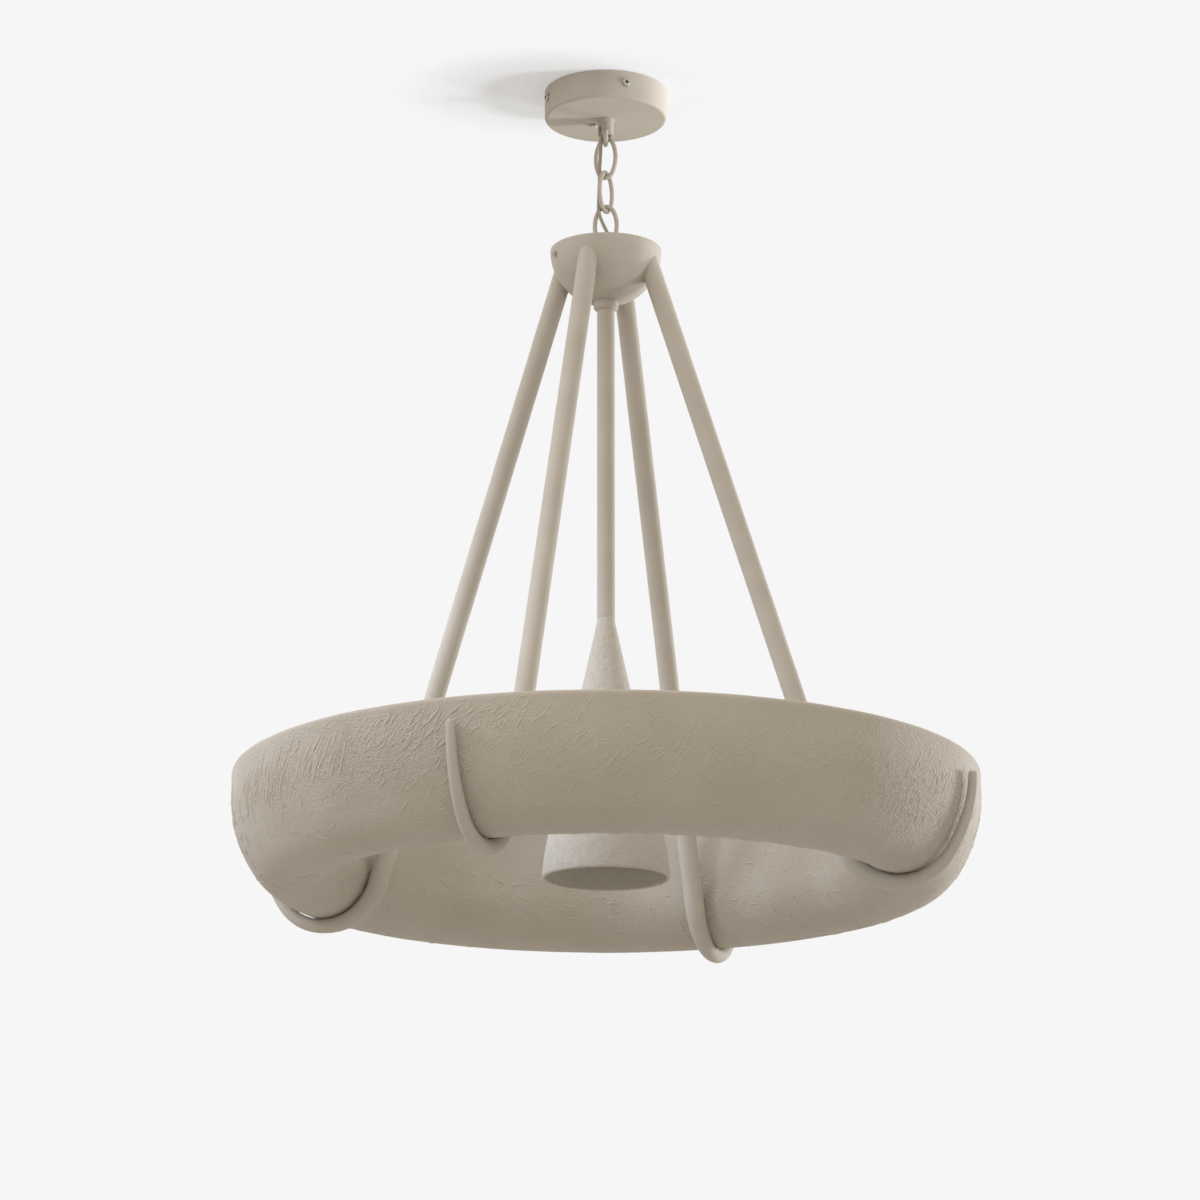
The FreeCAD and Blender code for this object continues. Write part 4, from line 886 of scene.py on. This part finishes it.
def ridges(name, patches, wall_radius, arc, bend_depth, arc_turn, facing, first_seed):
    """All the ridges of one side of the drum as one piece."""
    joined = bmesh.new()
    for number, patch in enumerate(patches):
        middle, spread, depth, depth_spread, lean, lean_spread, length, width, count = patch
        batch = formed(f"{name}_{number}", bpy.data.meshes.new(name), TROWEL_RIDGES, **{
            "Count": count,
            "Seed": first_seed + number,
            "Steps": SHORT_STEPS if length < SHORT_STROKE else LONG_STEPS,
            "Middle": math.radians(middle),
            "Spread": math.radians(spread),
            "Depth": depth / MILLIMETRES,
            "Depth spread": depth_spread / MILLIMETRES,
            "Lean": math.radians(lean),
            "Lean spread": math.radians(lean_spread),
            "Length": length / MILLIMETRES,
            "Width": width / MILLIMETRES,
            "Wall radius": wall_radius,
            "Arc": arc,
            "Bend depth": bend_depth,
            "Wall top": drum_high.z,
            "Lowest": bend_depth + arc * arc_turn,
            "Facing": facing,
            "Uneven": DRUM_UNEVEN,
            "Lump": DRUM_LUMP,
            "Material": rubbed_plaster,
        })
        joined.from_mesh(batch.data)
        bpy.data.objects.remove(batch)
    mesh = bpy.data.meshes.new(name)
    joined.to_mesh(mesh)
    joined.free()
    mesh.materials.append(rubbed_plaster)
    mesh.shade_smooth()
    piece = shown(name, mesh)
    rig.ride(piece, "hung_frame")
    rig.slot(piece, "painted_plaster")


ridges("drum_ridges_outside", OUTSIDE_PATCHES, drum_radius, DRUM_ARC, DRUM_STRAIGHT, round_turn,
       facing=1.0, first_seed=11)
ridges("drum_ridges_inside", INSIDE_PATCHES, drum_inner, DRUM_ROUND, DRUM_HEIGHT - DRUM_ROUND,
       math.pi - round_turn, facing=-1.0, first_seed=71)

# Stem and cone: a painted tube, and a spun trumpet that screws on below it with a fine joint line.
# The cone has a rougher coat, with small pits where the sand has pulled out.
# The cone's paint is a paler copy of the greige paint: painted light, standing in for the extra light that the cone
# catches.
CONE_LIT_COAT = (0.405, 0.361, 0.303, 1)
CONE_LIT_COAT_PALE = (0.590, 0.544, 0.476, 1)
CONE_WALL = 0.003
CONE_CURVE = 0.234
CONE_STEPS = 300
MOUTH_DEGREES = 3.5
NECK_STRAIGHT = 0.0035
NECK_RADIUS = 0.0085
NECK_BORE = 0.007
INSIDE_DROP = 0.0165
LIP_STEPS = 8
stem_paint = mineral_paint("stem_paint", GREIGE, GREIGE_PALE, grain=1500, mottle=24, relief=0.0001)
finish_nodes(stem_paint, "stem_tube")
cone_low, cone_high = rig.box("cone_shade")
cone_radius = (cone_high.x - cone_low.x) / 2
lip_radius = CONE_WALL / 2
mouth_z = cone_low.z + lip_radius
mouth_cosine = math.cos(math.radians(MOUTH_DEGREES))
mouth_sine = math.sin(math.radians(MOUTH_DEGREES))
curve_spot = (cone_radius - CONE_CURVE * mouth_cosine, mouth_z - CONE_CURVE * mouth_sine)
shoulder_z = cone_high.z - NECK_STRAIGHT
to_shoulder = (NECK_RADIUS - curve_spot[0], shoulder_z - curve_spot[1])
cone_tilt = math.atan2(to_shoulder[1], to_shoulder[0]) - math.acos(CONE_CURVE / math.hypot(*to_shoulder))


def cone_points(offset, curve_steps, top, straight_steps):
    """Points of the cone's flank from its mouth up: the curve near the mouth, then the straight part."""
    curve = arc_points(curve_spot, CONE_CURVE - offset, MOUTH_DEGREES, math.degrees(cone_tilt), curve_steps)
    last_radius, last_z = curve[-1]
    climbs = [(top - last_z) * i / straight_steps for i in range(1, straight_steps + 1)]
    return curve + [(last_radius - climb * math.tan(cone_tilt), last_z + climb) for climb in climbs]


flank = cone_points(0, curve_steps=40, top=shoulder_z, straight_steps=190)
inside = cone_points(CONE_WALL, curve_steps=24, top=shoulder_z - INSIDE_DROP, straight_steps=60)
lip_reach = CONE_CURVE - lip_radius
lip_spot = (curve_spot[0] + lip_reach * mouth_cosine, curve_spot[1] + lip_reach * mouth_sine)
lip = arc_points(lip_spot, lip_radius, 180 + MOUTH_DEGREES, 360 + MOUTH_DEGREES, LIP_STEPS)[1:-1]
cone_outline = flank + [(NECK_RADIUS, cone_high.z), (NECK_BORE, cone_high.z)]
cone_outline += [spot for spot in reversed(inside) if spot[0] >= NECK_BORE]
cone_outline += lip
cone_paint = mineral_paint("cone_paint", CONE_LIT_COAT, CONE_LIT_COAT_PALE, grain=600, mottle=240, relief=0.0009)
coat = {"Uneven": 0.0004, "Lump": 0.012, "Pit depth": 0.0004, "Pit size": 0.004, "Material": cone_paint}
cone = formed("cone_coat", turned("cone_form", cone_outline, CONE_STEPS), COATED_FORM, **coat)
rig.ride(cone, "hung_frame")
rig.replaces(cone, "cone_shade")
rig.slot(cone, "painted_cone")

# Studio: a pale floor below, a pale ceiling round the canopy that takes its soft shadow, light from
# all round, a soft lamp behind on the right, three spots, and a camera that looks up from the front.
BACKDROP = (0.921, 0.921, 0.921, 1)
FLOOR_RADIUS = 30
FLOOR_DROP = 2.4
FLOOR_SEEN = (0.70, 0.73, 0.77, 1)
FLOOR_THROWN = (0.45, 0.44, 0.42, 1)
CEILING_RADIUS = 0.9
CEILING_LIFT = 0.0008
CEILING_WHITE = (0.6, 0.61, 0.63, 1)
CEILING_GLOW = 0.285
DISC_SIDES = 96


def flat_disc(name, radius, height, turn, paint):
    """A flat round piece of the studio, turned about X where it faces down."""
    mesh = bmesh.new()
    bmesh.ops.create_circle(mesh, cap_ends=True, segments=DISC_SIDES, radius=radius)
    data = bpy.data.meshes.new(name)
    mesh.to_mesh(data)
    mesh.free()
    data.transform(Matrix.Rotation(turn, 4, "X"))
    data.transform(Matrix.Translation((0, 0, height)))
    data.materials.append(paint)
    piece = shown(name, data)
    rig.stage(piece)


def floor_paint():
    """Pale floor that throws little light back up."""
    material, tree, shader = new_material("floor_paint")
    rays = add(tree, "ShaderNodeLightPath")
    colour = mixed(tree, rays.outputs["Is Diffuse Ray"], FLOOR_SEEN, FLOOR_THROWN)
    fill(tree, shader, {"Base Color": colour, "Roughness": 0.9})
    return material


def ceiling_paint():
    """White ceiling that shows near the canopy and fades into the backdrop, and not from above."""
    material, tree, _ = new_material("ceiling_paint")
    calc = calculator(tree)
    matte = add(tree, "ShaderNodeBsdfDiffuse", {"Color": CEILING_WHITE})
    clear = add(tree, "ShaderNodeBsdfTransparent")
    oval = add(tree, "ShaderNodeMapping",
               {"Vector": object_place(tree), "Location": (0.05, 0, 0), "Scale": (1, 1.35, 1)})
    distance = add(tree, "ShaderNodeVectorMath", {0: oval.outputs[0]}, operation="LENGTH").outputs["Value"]
    near = mapped(tree, distance, start=0.06, stop=0.18, low=1.0, high=0.0, interpolation_type="SMOOTHERSTEP")
    side = add(tree, "ShaderNodeNewGeometry")
    rays = add(tree, "ShaderNodeLightPath")
    hidden = calc("MULTIPLY", side.outputs["Backfacing"], rays.outputs["Is Camera Ray"])
    seen = calc("MULTIPLY", near, calc("SUBTRACT", 1.0, hidden))
    glow = add(tree, "ShaderNodeEmission", {"Color": (1, 1, 1, 1), "Strength": CEILING_GLOW})
    lit = add(tree, "ShaderNodeAddShader", {0: matte.outputs[0], 1: glow.outputs[0]})
    mix = add(tree, "ShaderNodeMixShader", {0: seen, 1: clear.outputs[0], 2: lit.outputs[0]})
    tree.links.new(mix.outputs[0], tree.nodes["Material Output"].inputs["Surface"])
    return material


flat_disc("floor", FLOOR_RADIUS, -FLOOR_DROP, 0, floor_paint())
flat_disc("ceiling", CEILING_RADIUS, CEILING_LIFT, math.pi, ceiling_paint())

SKY_COLOUR = (1.0, 0.96, 0.91, 1)
SKY_LEVEL = 0.775
SKY_TO_THE_RIGHT = -0.3
SKY_UPWARDS = 0.66
world = bpy.data.worlds.new("studio")
bpy.context.scene.world = world
world.use_nodes = True
sky = world.node_tree
sky_calc = calculator(sky)
rays = add(sky, "ShaderNodeLightPath")
direct = sky_calc("MAXIMUM", rays.outputs["Is Camera Ray"],
                  sky_calc("MAXIMUM", rays.outputs["Is Glossy Ray"], rays.outputs["Is Transmission Ray"]))
direction = add(sky, "ShaderNodeSeparateXYZ", {0: add(sky, "ShaderNodeTexCoord").outputs["Generated"]})
side_level = sky_calc("MULTIPLY_ADD", direction.outputs[0], SKY_TO_THE_RIGHT, SKY_LEVEL)
level = sky_calc("MULTIPLY_ADD", direction.outputs[2], SKY_UPWARDS, side_level)
soft_light = add(sky, "ShaderNodeBackground", {"Color": SKY_COLOUR, "Strength": level})
backdrop = add(sky, "ShaderNodeBackground", {"Color": BACKDROP, "Strength": 1.0})
studio_mix = add(sky, "ShaderNodeMixShader", {0: direct, 1: soft_light.outputs[0], 2: backdrop.outputs[0]})
sky.links.new(studio_mix.outputs[0], sky.nodes["World Output"].inputs["Surface"])


def lamp(name, kind, place, target, power, colour):
    """A lamp that looks at a target."""
    light = bpy.data.lights.new(name, kind)
    light.energy = power
    light.color = colour
    piece = shown(name, light)
    piece.location = place
    piece.rotation_euler = (Vector(target) - Vector(place)).to_track_quat("-Z", "Y").to_euler()
    return light


SOFT_LAMP_SIZE = 0.5
soft_lamp = lamp("lamp_right", "AREA", (2.36, 1.5, -0.4), (0.25, 0, -0.7), 58, (0.88, 0.94, 1.0))
soft_lamp.shape = "RECTANGLE"
soft_lamp.size = SOFT_LAMP_SIZE
soft_lamp.size_y = SOFT_LAMP_SIZE

# Spots: name, place, target, power in watts, colour, width of the beam in degrees and the lamp's radius.
SPOTS = [
    ("lamp_canopy", (1.7, -0.2, -0.73), (0, 0, 0.02), 125, (0.92, 0.97, 1.04), 14, 0.16),
    ("lamp_left", (-2.0, -0.2, 0.45), (-0.22, 0, -0.68), 112, (0.80, 0.98, 1.34), 27, 0.4),
    ("lamp_inside", (-0.9, -0.75, -0.1), (0.0, 0.2, -0.74), 20, (0.84, 0.98, 1.22), 22, 0.15),
]
for name, place, target, power, colour, beam, radius in SPOTS:
    spot = lamp(name, "SPOT", place, target, power, colour)
    spot.spot_size = math.radians(beam)
    spot.spot_blend = 1.0
    spot.shadow_soft_size = radius

CAMERA_PLACE = (-0.00574, -3.6656, -1.5167)
CAMERA_TILT = math.radians(15.263)
FOCAL_PIXELS = 4000
FRAME_PIXELS = 1200
SENSOR_WIDTH = 36
camera = bpy.data.cameras.new("camera")
camera.sensor_width = SENSOR_WIDTH
camera.lens = FOCAL_PIXELS / FRAME_PIXELS * SENSOR_WIDTH
viewer = shown("camera", camera)
viewer.location = CAMERA_PLACE
viewer.rotation_euler = (math.pi / 2 + CAMERA_TILT, 0, 0)
bpy.context.scene.camera = viewer

with open("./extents.json", "w") as sizes:
    json.dump({"cad": [list(corner) for corner in cad_box], "visual": [list(corner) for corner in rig.bounds()]}, sizes)
